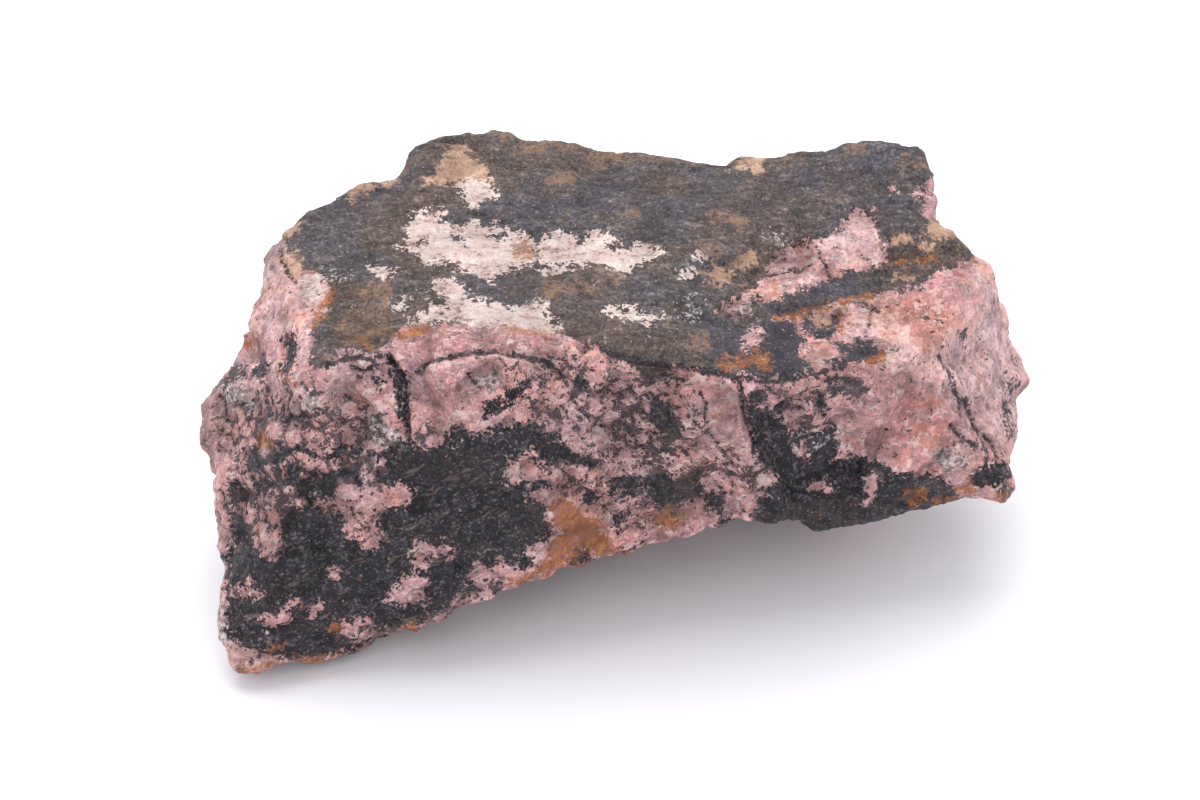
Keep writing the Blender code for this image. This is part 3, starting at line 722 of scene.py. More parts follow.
class StudioSettings(bpy.types.PropertyGroup):
    """The floor, the lights and the camera."""

    elevation: FloatProperty(
        name="Camera height", description="Angle above the floor", default=math.radians(38.0), subtype="ANGLE"
    )
    distance: FloatProperty(
        name="Camera distance", description="From its target", default=0.406, unit="LENGTH"
    )
    lens: FloatProperty(name="Lens", description="Focal length in millimetres", default=100.0)
    target: FloatVectorProperty(
        name="Target",
        description="Where the camera looks",
        subtype="XYZ",
        default=(-0.0027185, 0.0009334, 0.019),
    )
    key_power: FloatProperty(name="Key light", description="Power of the high back-left light", default=7.0)
    fill_power: FloatProperty(name="Fill light", description="Power of the front light", default=1.25)
    surround: FloatProperty(
        name="Surround", description="Brightness of the studio's white surround", default=1.0
    )
    floor_colour: colour_setting("Floor", "Colour of the floor", (0.88, 0.875, 0.905))


def ease(low, high, value):
    share = np.clip((value - low) / (high - low), 0.0, 1.0)
    return share * share * (3.0 - 2.0 * share)


def places_of(text):
    """The places in a line of pixel pairs."""
    return np.array([pair.split(",") for pair in text.split()], dtype=float)


def camera_axes(studio):
    """The camera's place and its axes: to the right, up, and the way that it looks."""
    look = Vector((0.0, math.cos(studio.elevation), -math.sin(studio.elevation)))
    up = Vector((0.0, math.sin(studio.elevation), math.cos(studio.elevation)))
    return Vector(studio.target) - look * studio.distance, Vector((1.0, 0.0, 0.0)), up, look


def as_pictured(places, studio):
    """Where places in metres fall in the camera's picture, in pixels."""
    eye, right, up, look = camera_axes(studio)
    away = places - np.array(eye)
    scale = studio.lens / SENSOR_WIDTH * PICTURE_WIDTH / (away @ np.array(look))
    across = PICTURE_WIDTH / 2 + (away @ np.array(right)) * scale
    down = PICTURE_HEIGHT / 2 - (away @ np.array(up)) * scale
    return np.stack([across, down], axis=1)


def to_segment(points, start, end):
    """Distance from each point to a straight piece of line."""
    along = end - start
    share = np.clip(((points - start) @ along) / max(along @ along, 1e-9), 0.0, 1.0)
    return np.linalg.norm(points - start - share[:, None] * along, axis=1)


def outline_field(points, corners):
    """How far inside a closed outline each point lies, in millimetres."""
    field = np.full(len(points), FAR_OUTSIDE)
    low, high = corners.min(axis=0) - FIELD_REACH, corners.max(axis=0) + FIELD_REACH
    near = np.all((points > low) & (points < high), axis=1)
    spots = points[near]
    distance = np.full(len(spots), np.inf)
    inside = np.zeros(len(spots), dtype=bool)
    for start, end in zip(corners, np.roll(corners, -1, axis=0)):
        distance = np.minimum(distance, to_segment(spots, start, end))
        rise = end[1] - start[1]
        if rise:
            crosses = (start[1] > spots[:, 1]) != (end[1] > spots[:, 1])
            edge = start[0] + (spots[:, 1] - start[1]) * (end[0] - start[0]) / rise
            inside ^= crosses & (spots[:, 0] < edge)
    field[near] = np.where(inside, distance, -distance) / PIXELS_PER_MM
    return np.clip(field, FAR_OUTSIDE, FAR_INSIDE)


def patches_field(points, patches):
    field = np.full(len(points), FAR_OUTSIDE)
    for text in patches.values():
        field = np.maximum(field, outline_field(points, places_of(text)))
    return field


def lines_fields(points):
    """How far inside a thin line each point lies, and how deep its crack is there, both in millimetres."""
    field = np.full(len(points), FAR_OUTSIDE)
    depth = np.zeros(len(points))
    for width, deepest, text in LINES.values():
        corners = places_of(text)
        distance = np.full(len(points), np.inf)
        for start, end in zip(corners[:-1], corners[1:]):
            distance = np.minimum(distance, to_segment(points, start, end))
        field = np.maximum(field, (width / 2 - distance) / PIXELS_PER_MM)
        depth = np.maximum(depth, deepest * (1.0 - ease(width * 0.2, width * 1.1, distance)))
    return field, depth


def ovals_field(points, ovals):
    """The strongest of a few soft ovals at each point."""
    field = np.zeros(len(points))
    for across, down, half_width, half_height, turn, strength in ovals:
        away = points - np.array((across, down))
        cos, sin = math.cos(math.radians(turn)), math.sin(math.radians(turn))
        along = (away[:, 0] * cos + away[:, 1] * sin) / half_width
        over = (away[:, 1] * cos - away[:, 0] * sin) / half_height
        field = np.maximum(field, strength * (1.0 - ease(0.45, 1.35, np.hypot(along, over))))
    return field


def behind_share(tree, places, studio):
    """0 where the camera sees the skin, up to 1 well behind what it sees."""
    eye = camera_axes(studio)[0]
    gaps = np.zeros(len(places))
    for index, place in enumerate(places):
        way = Vector(place) - eye
        hit = tree.ray_cast(eye, way.normalized())
        if hit[0] is not None:
            gaps[index] = (way.length - hit[3]) / MM
    return ease(BEHIND_STARTS, BEHIND_FULL, gaps)


def hidden_noise(spots, layers, step):
    """Layered noise at each spot. Spots and the layers' sizes are in millimetres."""
    shift = NOISE_STEP * step
    return np.array(
        [sum(noise.noise(spot / size + shift) * amount for size, amount in layers) for spot in spots]
    )


def stone_fields(tree, places, studio):
    """Every field of the stone, by its name."""
    points = as_pictured(places, studio)
    behind = behind_share(tree, places, studio)
    spots = [Vector(place) / MM for place in places]
    fields = {}
    for step, (name, patches) in enumerate(PATCHES.items()):
        seen = patches_field(points, patches)
        if name in ISLAND_KINDS:
            seen = np.minimum(seen, -patches_field(points, ISLAND_KINDS[name]))
        if name == "skin":
            wander = hidden_noise(spots, ((7.0, SKIN_WRAP_WANDER), (2.5, SKIN_WRAP_WANDER * 0.3)), step)
            unseen = places[:, 2] / MM - SKIN_WRAP_HEIGHT + wander
        else:
            broad, fine, height, offset = HIDDEN_PATCHES[name]
            unseen = (hidden_noise(spots, (broad, fine), step) + offset) * height
        fields[name] = np.clip(seen + (unseen - seen) * behind, FAR_OUTSIDE, FAR_INSIDE)
    for step, (name, ovals) in enumerate(SOFT_PATCHES.items()):
        size, middle, spread = HIDDEN_SOFT[name]
        unseen = np.clip(middle + spread * hidden_noise(spots, ((size, 1.0),), step + len(PATCHES)), 0.0, 1.0)
        seen = ovals_field(points, ovals)
        fields[name] = seen + (unseen - seen) * behind
    lines, cracks = lines_fields(points)
    fields["lines"] = lines + (FAR_OUTSIDE - lines) * behind
    fields["cracks"] = cracks * (1.0 - behind)
    return fields


def seam_distance(spot):
    """How far a spot lies from the nearest seam between lumps of rock, in millimetres."""
    bent = spot + noise.noise_vector(spot / SEAM_BEND_SIZE) * SEAM_BEND
    distances = noise.voronoi(bent / SEAM_SIZE)[0]
    return (distances[1] - distances[0]) * SEAM_SIZE / 2


def facet_relief(spot, size, scatter=9.0, step=0.12):
    """Small fracture facets: each cell of space tilts the surface its own way."""
    spot = spot / size
    distances, centres = noise.voronoi(spot)
    middle = Vector((0.5, 0.5, 0.5))
    near, far = [(spot - c).dot(noise.cell_vector(c * scatter) - middle) * size for c in centres[:2]]
    share = 0.5 + 0.5 * min(max((distances[1] - distances[0]) / step, 0.0), 1.0)
    return near * share + far * (1.0 - share)


def layered(spot, *layers, start=0.0):
    """Layers of noise, each of a size and a height in millimetres, on top of a first height."""
    return sum((noise.noise(spot / size) * height for size, height in layers), start)


def layered_facets(spot, layers):
    """Layers of fracture facets, each of a size in millimetres and a height."""
    return sum(facet_relief(spot, size) * height for size, height in layers)


def risers(value, rise, height):
    """Steps that rise quickly and fall slowly as the value grows."""
    share = value - math.floor(value)
    return height * (min(share / rise, 1.0) - share)


def drawn_out(spot, sizes):
    """A spot as seen by noise that is longer along the stone than across it."""
    along, across = sizes
    return Vector((spot.x / along, spot.y / across, spot.z / across))


def broken_height(spot):
    """Relief of the broken pink rock, in millimetres."""
    climb = layered(spot, *LEDGE_WAVES, start=spot.dot(GRAIN_NORMAL) / LEDGE_SPACING)
    ledges = risers(climb, LEDGE_RISE, LEDGE_HEIGHT)
    return layered(spot, BROKEN_GRAIN, start=layered_facets(spot, BROKEN_FACETS) + ledges)


def weathered_height(spot):
    """Relief of the old skin, drawn out along the stone, in millimetres."""
    flakes = risers(noise.noise(drawn_out(spot, FLAKE_SIZE)) * FLAKE_STEPS, FLAKE_RISE, FLAKE_HEIGHT)
    sizes, height = SKIN_LONG_ROLL
    rolls = layered(spot, SKIN_ROLL) + noise.noise(drawn_out(spot, sizes)) * height
    return layered(spot, SKIN_GRAIN, start=rolls + flakes)


def oxide_height(spot):
    """Relief of the hackly black oxide, in millimetres."""
    return layered(spot, OXIDE_GRAIN, start=layered_facets(spot, OXIDE_FACETS))


def surface_mesh(settings, studio):
    """An even fine skin over the solid, with fewer points where the camera does not look."""
    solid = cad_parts[SOLID]
    cage = bmesh.new()
    cage.from_mesh(solid.data)
    bmesh.ops.remove_doubles(cage, verts=cage.verts, dist=1e-6)
    mesh = bpy.data.meshes.new("rhodonite_skin")
    cage.to_mesh(mesh)
    cage.free()
    skin = bpy.data.objects.new("rhodonite_skin", mesh)
    bpy.context.scene.collection.objects.link(skin)
    remesh = skin.modifiers.new("even_skin", "REMESH")
    remesh.mode = "VOXEL"
    remesh.voxel_size = settings.skin_voxel
    mesh = with_modifiers(skin, "rhodonite_fine")

    fine = bpy.data.objects.new("rhodonite_fine", mesh)
    bpy.context.scene.collection.objects.link(fine)
    places = vertex_places(mesh)
    away = fine.vertex_groups.new(name="away_from_camera")
    look = np.array(camera_axes(studio)[3])
    facing = -(vertex_normals(mesh) @ look)
    share = 1.0 - ease(*SPARED_FACING, facing) * SPARED_SHARE
    for index in range(len(places)):
        away.add([index], float(share[index]), "REPLACE")
    triangles = sum(len(face.vertices) - 2 for face in mesh.polygons)
    thin = fine.modifiers.new("thin_the_rest", "DECIMATE")
    thin.ratio = min(1.0, settings.triangles / triangles)
    thin.vertex_group = away.name
    return with_modifiers(fine, "rhodonite_thin")


def with_modifiers(obj, name):
    """What the object's modifiers make, as a mesh of its own. The object is removed."""
    bpy.context.view_layer.update()
    graph = bpy.context.evaluated_depsgraph_get()
    mesh = bpy.data.meshes.new_from_object(obj.evaluated_get(graph))
    mesh.name = name
    bpy.data.objects.remove(obj)
    return mesh


def vertex_places(mesh):
    flat = np.empty(len(mesh.vertices) * 3)
    mesh.vertices.foreach_get("co", flat)
    return flat.reshape(-1, 3)


def vertex_normals(mesh):
    flat = np.empty(len(mesh.vertices) * 3)
    mesh.vertex_normals.foreach_get("vector", flat)
    return flat.reshape(-1, 3)


def smoothed(mesh, passes, studio):
    """Softens the solid's flat facets, and one step in the lower edge that the picture does not have."""
    across, down, reach, more_passes = LEVELLED_STEP
    points = as_pictured(vertex_places(mesh), studio)
    near_step = np.linalg.norm(points - np.array((across, down)), axis=1) < reach
    work = bmesh.new()
    work.from_mesh(mesh)
    step = [vert for vert in work.verts if near_step[vert.index]]
    for verts, repeats in ((work.verts, passes), (step, more_passes)):
        for _ in range(repeats):
            bmesh.ops.smooth_vert(
                work, verts=verts, factor=0.5, use_axis_x=True, use_axis_y=True, use_axis_z=True
            )
    work.to_mesh(mesh)
    work.free()


def nudged(mesh, studio):
    """Shifts the skin a little in the picture's plane, so that its outline follows the picture's."""
    places = vertex_places(mesh)
    points = as_pictured(places, studio)
    eye, right, up, look = (np.array(axis) for axis in camera_axes(studio))
    metres_per_pixel = ((places - eye) @ look) * SENSOR_WIDTH / (studio.lens * PICTURE_WIDTH)
    shift = np.zeros_like(places)
    for across, down, reach, to_right, downwards in NUDGES:
        away = np.linalg.norm(points - np.array((across, down)), axis=1)
        shift += (1.0 - ease(0.0, reach, away))[:, None] * (right * to_right - up * downwards)
    above_base = ease(*BASE_HEIGHTS, places[:, 2] / MM)
    places = places + shift * (metres_per_pixel * above_base)[:, None]
    mesh.vertices.foreach_set("co", places.ravel())
    mesh.update()


def add_relief(mesh, fields, settings):
    """Moves the skin in and out by its relief, and keeps the seams and that relief as two more fields."""
    places, normals = vertex_places(mesh), vertex_normals(mesh)
    skin, oxide, pale, cream = (ease(*edges, fields[name]) for name, edges in RELIEF_EDGES.items())
    heights, seams = np.zeros(len(places)), np.zeros(len(places))
    for index, place in enumerate(places):
        spot = Vector(place) / MM
        height = broken_height(spot) * (1.0 - PALE_SMOOTHNESS * pale[index])
        seams[index] = seam_distance(spot)
        depth = SEAM_DEPTH * fields["speckle"][index]
        height -= depth * (1.0 - min(seams[index] / SEAM_WIDTH, 1.0))
        if skin[index] > 0.0:
            height += (weathered_height(spot) - height) * skin[index]
        if oxide[index] > 0.0:
            height += (oxide_height(spot) - height) * oxide[index] * (1.0 - skin[index])
        heights[index] = height * (1.0 - CREAM_SMOOTHNESS * cream[index]) - CREAM_SUNK * cream[index]
    heights = heights * settings.relief - fields["cracks"]
    fields["seam"], fields["height"] = seams, heights
    above_base = ease(*BASE_HEIGHTS, places[:, 2] / MM)
    places = places + normals * (heights * above_base * MM)[:, None]
    places[:, 2] = np.where(places[:, 2] < TABLE_REACH * MM, 0.0, places[:, 2])
    low, high = np.array(SOLID_BOUNDS[0]), np.array(SOLID_BOUNDS[1])
    places = np.clip(places, low, high)
    mesh.vertices.foreach_set("co", places.ravel())
    mesh.update()


def write_fields(mesh, fields):
    for name, values in fields.items():
        attribute = mesh.attributes.new(name, "FLOAT", "POINT")
        attribute.data.foreach_set("value", values.astype(np.float32))


def add(tree, kind, inputs=(), **settings):
    """A new node. Each input gets a number, a colour or another node's output."""
    made = tree.nodes.new(kind)
    for name, value in settings.items():
        setattr(made, name, value)
    for name, value in dict(inputs).items():
        if isinstance(value, bpy.types.NodeSocket):
            tree.links.new(value, made.inputs[name])
        else:
            made.inputs[name].default_value = value
    return made


def maths(tree, operation, first, second=0.0, third=0.0):
    return add(tree, "ShaderNodeMath", {0: first, 1: second, 2: third}, operation=operation).outputs[0]


def spread_out(tree, value, low, high, to_low=0.0, to_high=1.0, kind="SMOOTHSTEP"):
    """The value's range, low to high, as another range."""
    inputs = {"Value": value, "From Min": low, "From Max": high, "To Min": to_low, "To Max": to_high}
    return add(tree, "ShaderNodeMapRange", inputs, interpolation_type=kind).outputs["Result"]


def by_level(tree, value, name):
    """What a value gives by the levels of that name."""
    return spread_out(tree, value, *LEVELS[name])


def mix(tree, share, first, second, blend="MIX"):
    """One colour over another."""
    made = tree.nodes.new("ShaderNodeMix")
    made.data_type = "RGBA"
    made.blend_type = blend
    for index, value in ((0, share), (6, first), (7, second)):
        if isinstance(value, bpy.types.NodeSocket):
            tree.links.new(value, made.inputs[index])
        elif index == 0:
            made.inputs[index].default_value = value
        else:
            made.inputs[index].default_value = (*value, 1.0)
    return made.outputs[2]


def tinted(tree, colour, tint, share=1.0):
    """A colour multiplied by another or by a brightness."""
    return mix(tree, share, colour, tint, "MULTIPLY")


def new_group(name, inputs, outputs):
    """An empty shader node group. Its sockets are given as (name, kind, default)."""
    tree = bpy.data.node_groups.new(name, "ShaderNodeTree")
    for socket, kind, default in inputs:
        made = tree.interface.new_socket(socket, in_out="INPUT", socket_type=kind)
        if default is not None:
            made.default_value = default
    for socket, kind in outputs:
        tree.interface.new_socket(socket, in_out="OUTPUT", socket_type=kind)
    return tree, tree.nodes.new("NodeGroupInput").outputs, tree.nodes.new("NodeGroupOutput").inputs


def ragged_patch_group():
    """Turns a field into a mask whose edge frays, with holes and islands where the noise is strong."""
    tree, given, out = new_group(
        "ragged_patch",
        (
            ("Field", "NodeSocketFloat", 0.0),
            ("Coarse noise", "NodeSocketFloat", 0.5),
            ("Middle noise", "NodeSocketFloat", 0.5),
            ("Fine noise", "NodeSocketFloat", 0.5),
            ("Coarse", "NodeSocketFloat", 4.0),
            ("Middle", "NodeSocketFloat", 4.0),
            ("Fine", "NodeSocketFloat", 2.0),
            ("Reach", "NodeSocketFloat", 1.0),
            ("Softness", "NodeSocketFloat", 0.1),
        ),
        (("Mask", "NodeSocketFloat"),),
    )
    least = maths(tree, "MULTIPLY", given["Reach"], -1.0)
    edge = maths(tree, "MAXIMUM", maths(tree, "MINIMUM", given["Field"], given["Reach"]), least)
    for size in ("Coarse", "Middle", "Fine"):
        swing = maths(tree, "SUBTRACT", given[size + " noise"], 0.5)
        edge = maths(tree, "MULTIPLY_ADD", swing, given[size], edge)
    below = maths(tree, "MULTIPLY", given["Softness"], -1.0)
    tree.links.new(spread_out(tree, edge, below, given["Softness"]), out["Mask"])
    return tree


def three_noises(tree, place, size, detail, roughness):
    """One noise node's three channels, each around 0.5, of a size in millimetres."""
    inputs = {"Vector": place, "Scale": 1.0 / size, "Detail": detail, "Roughness": roughness}
    made = add(tree, "ShaderNodeTexNoise", inputs).outputs
    parts = add(tree, "ShaderNodeSeparateColor", {"Color": made["Color"]}).outputs
    return made["Fac"], parts["Green"], parts["Blue"], made["Color"]


def blend_values(tree, *shares):
    """A weighted sum of values."""
    total = 0.0
    for value, share in shares:
        total = maths(tree, "MULTIPLY_ADD", value, share, total)
    return total


def between(tree, share, first, second):
    """One vector or the other."""
    made = add(tree, "ShaderNodeMix", {0: share, 4: first, 5: second}, data_type="VECTOR")
    return made.outputs[1]


def bent_place(tree, place, bend, reach):
    """A place shifted by a noise's colour, by a reach in millimetres."""
    inputs = {0: bend, 1: (reach,) * 3, 2: place}
    return add(tree, "ShaderNodeVectorMath", inputs, operation="MULTIPLY_ADD").outputs[0]


def streak_noise(tree, place, folded, rising, top):
    """Fine lines along the rock's grain: bedded on the sides, folded on the front, lying on the top."""
    inputs = {"Vector": place, "Scale": STREAK_BEND_SCALE, "Detail": 2.0}
    wander = add(tree, "ShaderNodeTexNoise", inputs).outputs["Color"]
    bent = bent_place(tree, place, wander, STREAK_BEND)
    bedded, fold, rise, flat = (
        add(
            tree,
            "ShaderNodeMapping",
            {"Vector": bent, "Rotation": turn, "Scale": stretch},
            vector_type="TEXTURE",
        ).outputs[0]
        for turn, stretch in (BEDDING, FOLDS, RISES, TOP_STREAKS)
    )
    way = between(tree, top, between(tree, rising, between(tree, folded, bedded, fold), rise), flat)
    inputs = {"Vector": way, "Scale": 1.0, "Detail": 4.0, "Roughness": 0.62}
    return add(tree, "ShaderNodeTexNoise", inputs).outputs["Fac"]


def crystal_grains(tree, place, bend, size):
    """Grains of massive rock, each with a tone of its own."""
    wavy = bent_place(tree, place, bend, GRAIN_BEND)
    cells = add(tree, "ShaderNodeTexVoronoi", {"Vector": wavy, "Scale": 1.0 / size}).outputs["Color"]
    return add(tree, "ShaderNodeSeparateColor", {"Color": cells}).outputs["Red"]


def group(tree, made, **inputs):
    node = tree.nodes.new("ShaderNodeGroup")
    node.node_tree = made
    for name, value in inputs.items():
        socket = node.inputs[name.replace("_", " ")]
        if isinstance(value, bpy.types.NodeSocket):
            tree.links.new(value, socket)
        else:
            socket.default_value = value
    return node.outputs


def field(tree, name):
    return add(tree, "ShaderNodeAttribute", attribute_name=name).outputs["Fac"]


def scaled(colour, share):
    return tuple(part * share for part in colour)


def ramp(tree, value, *stops):
    """A colour for each value. Stops are pairs of a value and a colour, from low to high."""
    made = add(tree, "ShaderNodeValToRGB", {"Fac": value})
    points = made.color_ramp.elements
    first, *middle, last = stops
    for point, (position, colour) in zip(points, (first, last)):
        point.position = position
        point.color = (*colour, 1.0)
    for position, colour in middle:
        points.new(position).color = (*colour, 1.0)
    return made.outputs["Color"]


def shaded(tree, value, colour, darkest, lightest):
    """A colour between two shares of itself, for values around 0.5."""
    return ramp(tree, value, (0.4, scaled(colour, darkest)), (0.5, colour), (0.6, scaled(colour, lightest)))


def rock_colour(tree, noises, settings, tone, streaks, pale, broad):
    """The pink rock: mottled pinks, grains of their own tone, pale fibres and dark hairlines."""
    coarse, middle, fine = noises
    rose = by_level(tree, field(tree, "rose"), "rose")
    body = mix(tree, rose, mix(tree, pale, settings.pink, settings.light_pink), settings.deep_rose)
    hue = blend_values(tree, (broad[0], 0.6), (coarse[1], 0.4))
    rusty = by_level(tree, blend_values(tree, (middle[2], 0.5), (coarse[1], 0.5)), "rock_rust")
    body = mix(tree, rusty, body, SALMON_COLOUR)
    body = tinted(tree, body, ramp(tree, hue, (0.42, SALMON_TINT), (0.5, NO_TINT), (0.58, MAUVE_TINT)))
    grey = by_level(tree, blend_values(tree, (broad[1], 0.4), (middle[2], 0.6)), "rock_grey")
    body = mix(tree, grey, body, settings.ash)
    shade = blend_values(tree, (coarse[2], 0.3), (middle[1], 0.4), (fine[1], 0.3))
    body = tinted(tree, body, by_level(tree, shade, "rock_shade"))
    body = tinted(tree, body, by_level(tree, tone, "grain_shade"), GRAIN_CONTRAST)
    body = mix(tree, by_level(tree, tone, "light_grains"), body, FLECK_COLOUR)
    body = mix(tree, by_level(tree, tone, "dark_grains"), body, DUSKY_COLOUR)
    # Dusk in speckled rock; below the lip this is partly painted shade.
    body = mix(tree, maths(tree, "MULTIPLY", field(tree, "speckle"), SPECKLE_DUSK), body, DUSKY_COLOUR)
    body = mix(tree, by_level(tree, fine[2], "light_flecks"), body, FLECK_COLOUR)
    body = mix(tree, by_level(tree, fine[1], "dark_flecks"), body, DUSKY_COLOUR)
    calm = by_level(tree, pale, "calm_where_pale")
    bright = maths(tree, "MULTIPLY", calm, by_level(tree, streaks, "light_streaks"))
    body = mix(tree, bright, body, FLECK_COLOUR)
    gaps = maths(tree, "MULTIPLY", calm, by_level(tree, streaks, "dark_streaks"))
    return mix(tree, gaps, body, GAP_COLOUR)


def skin_colour(tree, noises, settings, streaks, broad):
    """The weathered top: grey-brown, clouded and gritty."""
    coarse, middle, fine = noises
    shade = blend_values(tree, (streaks, 0.35), (coarse[1], 0.25), (middle[1], 0.4))
    body = ramp(
        tree,
        shade,
        (0.40, scaled(settings.skin, 0.42)),
        (0.48, scaled(settings.skin, 0.85)),
        (0.54, settings.skin),
        (0.60, SKIN_LIGHT),
    )
    body = tinted(tree, body, ramp(tree, broad[2], (0.42, WARM_TINT), (0.5, NO_TINT), (0.58, COOL_TINT)))
    body = tinted(tree, body, SKIN_COOL_TINT, field(tree, "cool"))
    body = mix(tree, by_level(tree, middle[2], "skin_brown"), body, SKIN_BROWN)
    body = mix(tree, by_level(tree, fine[2], "skin_grit"), body, SKIN_GRIT)
    return tinted(tree, body, by_level(tree, fine[1], "skin_shade"))


def cream_colour(tree, noises, settings, streaks):
    """Cream patches, stained pink, tan and grey, with thin dark lines."""
    coarse, middle, fine = noises
    shade = blend_values(tree, (coarse[2], 0.35), (middle[1], 0.35), (fine[1], 0.3))
    body = ramp(
        tree, shade, (0.40, CREAM_STAIN), (0.46, CREAM_PINK), (0.51, settings.cream), (0.60, CREAM_LIGHT)
    )
    body = mix(tree, by_level(tree, middle[2], "cream_peach"), body, PEACH_COLOUR)
    return mix(tree, by_level(tree, streaks, "cream_lines"), body, GAP_COLOUR)


def oxide_colour(tree, noises, settings, streaks):
    """Black oxide with brown and pinkish wisps and a few bright grains."""
    middle, fine = noises[1:]
    shade = blend_values(tree, (streaks, 0.3), (middle[1], 0.35), (fine[1], 0.35))
    body = ramp(
        tree,
        shade,
        (0.42, scaled(settings.oxide, 0.3)),
        (0.49, scaled(settings.oxide, 0.85)),
        (0.54, scaled(settings.oxide, 2.2)),
        (0.57, scaled(settings.oxide, 3.4)),
        (0.605, WISP_COLOUR),
    )
    rust = maths(tree, "MULTIPLY", field(tree, "rust"), by_level(tree, middle[2], "oxide_rust"))
    body = mix(tree, rust, body, RUST_COLOUR)
    body = mix(tree, maths(tree, "MULTIPLY", field(tree, "cool"), VIOLET_STRENGTH), body, VIOLET_COLOUR)
    body = mix(tree, by_level(tree, streaks, "oxide_wisps"), body, WISP_COLOUR)
    return mix(tree, by_level(tree, fine[2], "oxide_sparks"), body, SPARK_COLOUR)


def stone_material(settings):
    """Rhodonite with black oxide, weathered skin, cream patches and iron stains."""
    material = bpy.data.materials.new("rough_rhodonite")
    material.use_nodes = True
    tree = material.node_tree
    shader = tree.nodes["Principled BSDF"]
    where = tree.nodes.new("ShaderNodeTexCoord").outputs["Object"]
    place = add(tree, "ShaderNodeVectorMath", {0: where, 3: 1.0 / MM}, operation="SCALE").outputs[0]
    ragged = ragged_patch_group()
    coarse = three_noises(tree, place, *COARSE_NOISE)
    middle = three_noises(tree, place, *MIDDLE_NOISE)
    fine = three_noises(tree, place, *FINE_NOISE)
    noises = (coarse, middle, fine)
    broad = three_noises(tree, place, *BROAD_NOISE)

    def patch(name, coarse_swing, middle_swing, fine_swing, reach, softness):
        return group(
            tree,
            ragged,
            Field=field(tree, name),
            Coarse_noise=coarse[0],
            Middle_noise=middle[0],
            Fine_noise=fine[0],
            Coarse=coarse_swing,
            Middle=middle_swing,
            Fine=fine_swing,
            Reach=reach,
            Softness=softness,
        )["Mask"]

    masks = {name: patch(name, *edge) for name, edge in PATCH_EDGES.items()}
    folded = by_level(tree, field(tree, "folded"), "streak_way")
    rising = by_level(tree, field(tree, "rising"), "streak_way")
    streaks = streak_noise(tree, place, folded, rising, masks["skin"])
    tone = crystal_grains(tree, place, middle[3], settings.grain_size)
    pale = by_level(tree, masks["pale"], "pale")

    black = oxide_colour(tree, noises, settings, streaks)
    colour = rock_colour(tree, noises, settings, tone, streaks, pale, broad)
    grey = blend_values(tree, (middle[1], 0.5), (fine[1], 0.5))
    colour = mix(tree, masks["ash"], colour, shaded(tree, grey, settings.ash, 0.4, 2.2))

    seam_edge = blend_values(tree, (middle[0], 1.2), (fine[0], 0.9), (field(tree, "seam"), 1.0))
    seam_width = by_level(tree, field(tree, "speckle"), "seam_width")
    seams = by_level(tree, maths(tree, "SUBTRACT", seam_edge, seam_width), "seams")
    drawn = blend_values(tree, (middle[0], 0.4), (streaks, 0.35), (fine[0], 0.25))
    level = by_level(tree, field(tree, "speckle"), "speckle_level")
    speckles = by_level(tree, maths(tree, "SUBTRACT", drawn, level), "speckles")
    specks = mix(tree, by_level(tree, fine[1], "speckle_black"), GAP_COLOUR, black)
    colour = mix(tree, maths(tree, "MAXIMUM", seams, speckles), colour, specks)

    # Black oxide, with the painted shadow under the lip and in the middle of the front.
    colour = mix(tree, masks["oxide"], colour, black)
    colour = mix(tree, masks["skin"], colour, skin_colour(tree, noises, settings, streaks, broad))
    stain = blend_values(tree, (coarse[1], 0.3), (middle[2], 0.4), (fine[1], 0.3))
    colour = mix(tree, masks["peach"], colour, shaded(tree, stain, PEACH_COLOUR, 0.5, 1.35))
    colour = mix(tree, masks["cream"], colour, cream_colour(tree, noises, settings, streaks))
    # Dark lines and cracks in black, with the painted shadow lines under the lip.
    colour = mix(tree, maths(tree, "MULTIPLY", masks["lines"], LINE_STRENGTH), colour, black)

    level = by_level(tree, field(tree, "pale_specks"), "pale_speck_level")
    grains = blend_values(tree, (fine[2], 0.7), (middle[2], 0.3))
    grains = by_level(tree, maths(tree, "SUBTRACT", grains, level), "pale_specks")
    colour = mix(tree, grains, colour, SPECK_COLOUR)

    rusty = ramp(tree, stain, (0.40, OCHRE_DARK), (0.5, settings.ochre), (0.6, OCHRE_LIGHT))
    strength = by_level(tree, stain, "ochre_strength")
    colour = mix(tree, maths(tree, "MULTIPLY", masks["ochre"], strength), colour, rusty)
    strength = by_level(tree, stain, "tan_strength")
    colour = mix(tree, maths(tree, "MULTIPLY", masks["tan"], strength), colour, settings.tan)
    # Painted shade in the relief's low places and cracks, and painted light on its high places.
    colour = tinted(tree, colour, by_level(tree, field(tree, "height"), "relief_painted_shade"))
    tree.links.new(colour, shader.inputs["Base Color"])

    dark = maths(tree, "MAXIMUM", masks["oxide"], masks["lines"])
    rough = by_level(tree, dark, "oxide_roughness")
    rough = maths(tree, "ADD", rough, by_level(tree, fine[1], "fine_roughness"))
    tree.links.new(rough, shader.inputs["Roughness"])
    shader.inputs["Specular IOR Level"].default_value = SHEEN

    height = blend_values(tree, (fine[0], FINE_BUMP), (middle[0], MIDDLE_BUMP))
    bump = add(tree, "ShaderNodeBump", {"Height": height, "Strength": 1.0, "Distance": MM})
    tree.links.new(bump.outputs["Normal"], shader.inputs["Normal"])
    return material


def collection_for(name):
    home = bpy.data.collections.get(name)
    if home is None:
        home = bpy.data.collections.new(name)
        bpy.context.scene.collection.children.link(home)
    return home


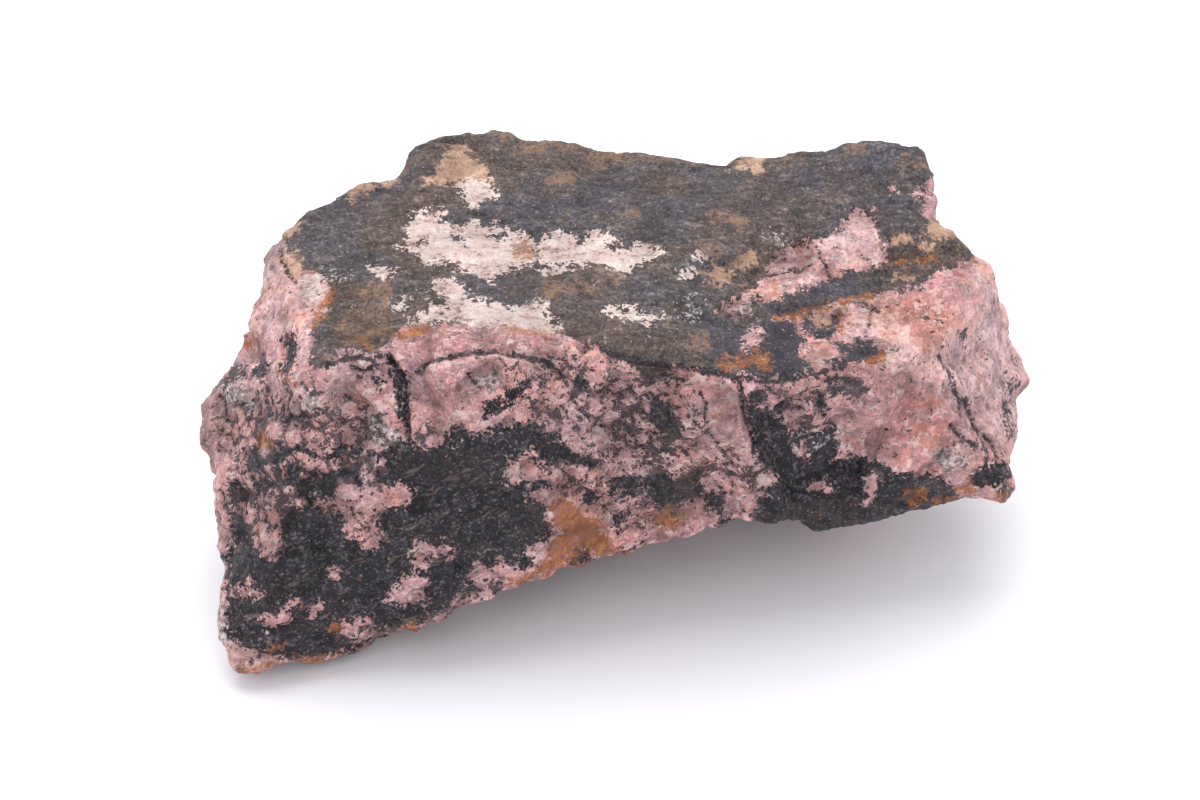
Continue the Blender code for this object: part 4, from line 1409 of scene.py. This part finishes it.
class RHODONITE_OT_stone(bpy.types.Operator):
    """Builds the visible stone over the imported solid"""

    bl_idname = "rhodonite.stone"
    bl_label = "Visible stone"

    def execute(self, context):
        settings, studio = context.scene.rhodonite_stone, context.scene.rhodonite_studio
        noise.seed_set(NOISE_SEED)
        mesh = surface_mesh(settings, studio)
        smoothed(mesh, settings.smoothing, studio)
        nudged(mesh, studio)
        faces = [tuple(face.vertices) for face in mesh.polygons]
        tree = BVHTree.FromPolygons([vertex.co for vertex in mesh.vertices], faces)
        fields = stone_fields(tree, vertex_places(mesh), studio)
        add_relief(mesh, fields, settings)
        write_fields(mesh, fields)
        mesh.name = STONE
        mesh.polygons.foreach_set("use_smooth", np.ones(len(mesh.polygons), dtype=bool))
        mesh.materials.clear()
        mesh.materials.append(stone_material(settings))
        stone = bpy.data.objects.new(STONE, mesh)
        collection_for("rhodonite").objects.link(stone)
        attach(stone, "root")
        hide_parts(SOLID)
        return {"FINISHED"}


def area_light(name, place, size, colour, power, home):
    lamp = bpy.data.lights.new(name, "AREA")
    lamp.shape = "DISK"
    lamp.size = size
    lamp.energy = power
    lamp.color = colour
    light = bpy.data.objects.new(name, lamp)
    light.location = place
    light.rotation_euler = (Vector(LIGHT_TARGET) - Vector(place)).to_track_quat("-Z", "Y").to_euler()
    home.objects.link(light)


class RHODONITE_OT_studio(bpy.types.Operator):
    """Builds the plain floor, the soft lights and the camera"""

    bl_idname = "rhodonite.studio"
    bl_label = "Studio"

    def execute(self, context):
        studio = context.scene.rhodonite_studio
        home = collection_for("studio")
        cage = bmesh.new()
        bmesh.ops.create_grid(cage, x_segments=1, y_segments=1, size=3.0)
        mesh = bpy.data.meshes.new("floor")
        cage.to_mesh(mesh)
        cage.free()
        paper = bpy.data.materials.new("pale_floor")
        paper.use_nodes = True
        shader = paper.node_tree.nodes["Principled BSDF"]
        shader.inputs["Base Color"].default_value = (*studio.floor_colour, 1.0)
        shader.inputs["Roughness"].default_value = 0.85
        shader.inputs["Specular IOR Level"].default_value = 0.2
        mesh.materials.append(paper)
        floor = bpy.data.objects.new("floor", mesh)
        home.objects.link(floor)

        area_light("key_light", *KEY_LIGHT, studio.key_power, home)
        area_light("fill_light", *FILL_LIGHT, studio.fill_power, home)
        world = bpy.data.worlds.new("white_surround")
        world.use_nodes = True
        background = world.node_tree.nodes["Background"]
        background.inputs["Color"].default_value = (*SURROUND_COLOUR, 1.0)
        background.inputs["Strength"].default_value = studio.surround
        context.scene.world = world

        eye, _, _, look = camera_axes(studio)
        lens = bpy.data.cameras.new("camera")
        lens.lens = studio.lens
        lens.sensor_width = SENSOR_WIDTH
        lens.clip_start = 0.01
        camera = bpy.data.objects.new("camera", lens)
        camera.location = eye
        camera.rotation_euler = look.to_track_quat("-Z", "Y").to_euler()
        home.objects.link(camera)
        bpy.context.scene.camera = camera
        context.scene.view_settings.view_transform = "Standard"
        return {"FINISHED"}


class RHODONITE_PT_panel(bpy.types.Panel):
    """Lists the stone's pieces and their settings"""

    bl_idname = "RHODONITE_PT_panel"
    bl_label = "Rough rhodonite"
    bl_space_type = "VIEW_3D"
    bl_region_type = "UI"
    bl_category = "Rhodonite"

    def draw(self, context):
        for operator, settings in (
            (RHODONITE_OT_stone, context.scene.rhodonite_stone),
            (RHODONITE_OT_studio, context.scene.rhodonite_studio),
        ):
            box = self.layout.box()
            box.operator(operator.bl_idname)
            for name in settings.__annotations__:
                box.prop(settings, name)


CLASSES = (StoneSettings, StudioSettings, RHODONITE_OT_stone, RHODONITE_OT_studio, RHODONITE_PT_panel)


def register():
    for each in CLASSES:
        bpy.utils.register_class(each)
    bpy.types.Scene.rhodonite_stone = PointerProperty(type=StoneSettings)
    bpy.types.Scene.rhodonite_studio = PointerProperty(type=StudioSettings)


def unregister():
    del bpy.types.Scene.rhodonite_studio
    del bpy.types.Scene.rhodonite_stone
    for each in reversed(CLASSES):
        bpy.utils.unregister_class(each)


def main():
    register()
    bpy.ops.rhodonite.stone()
    bpy.ops.rhodonite.studio()


if __name__ == "__main__":
    main()
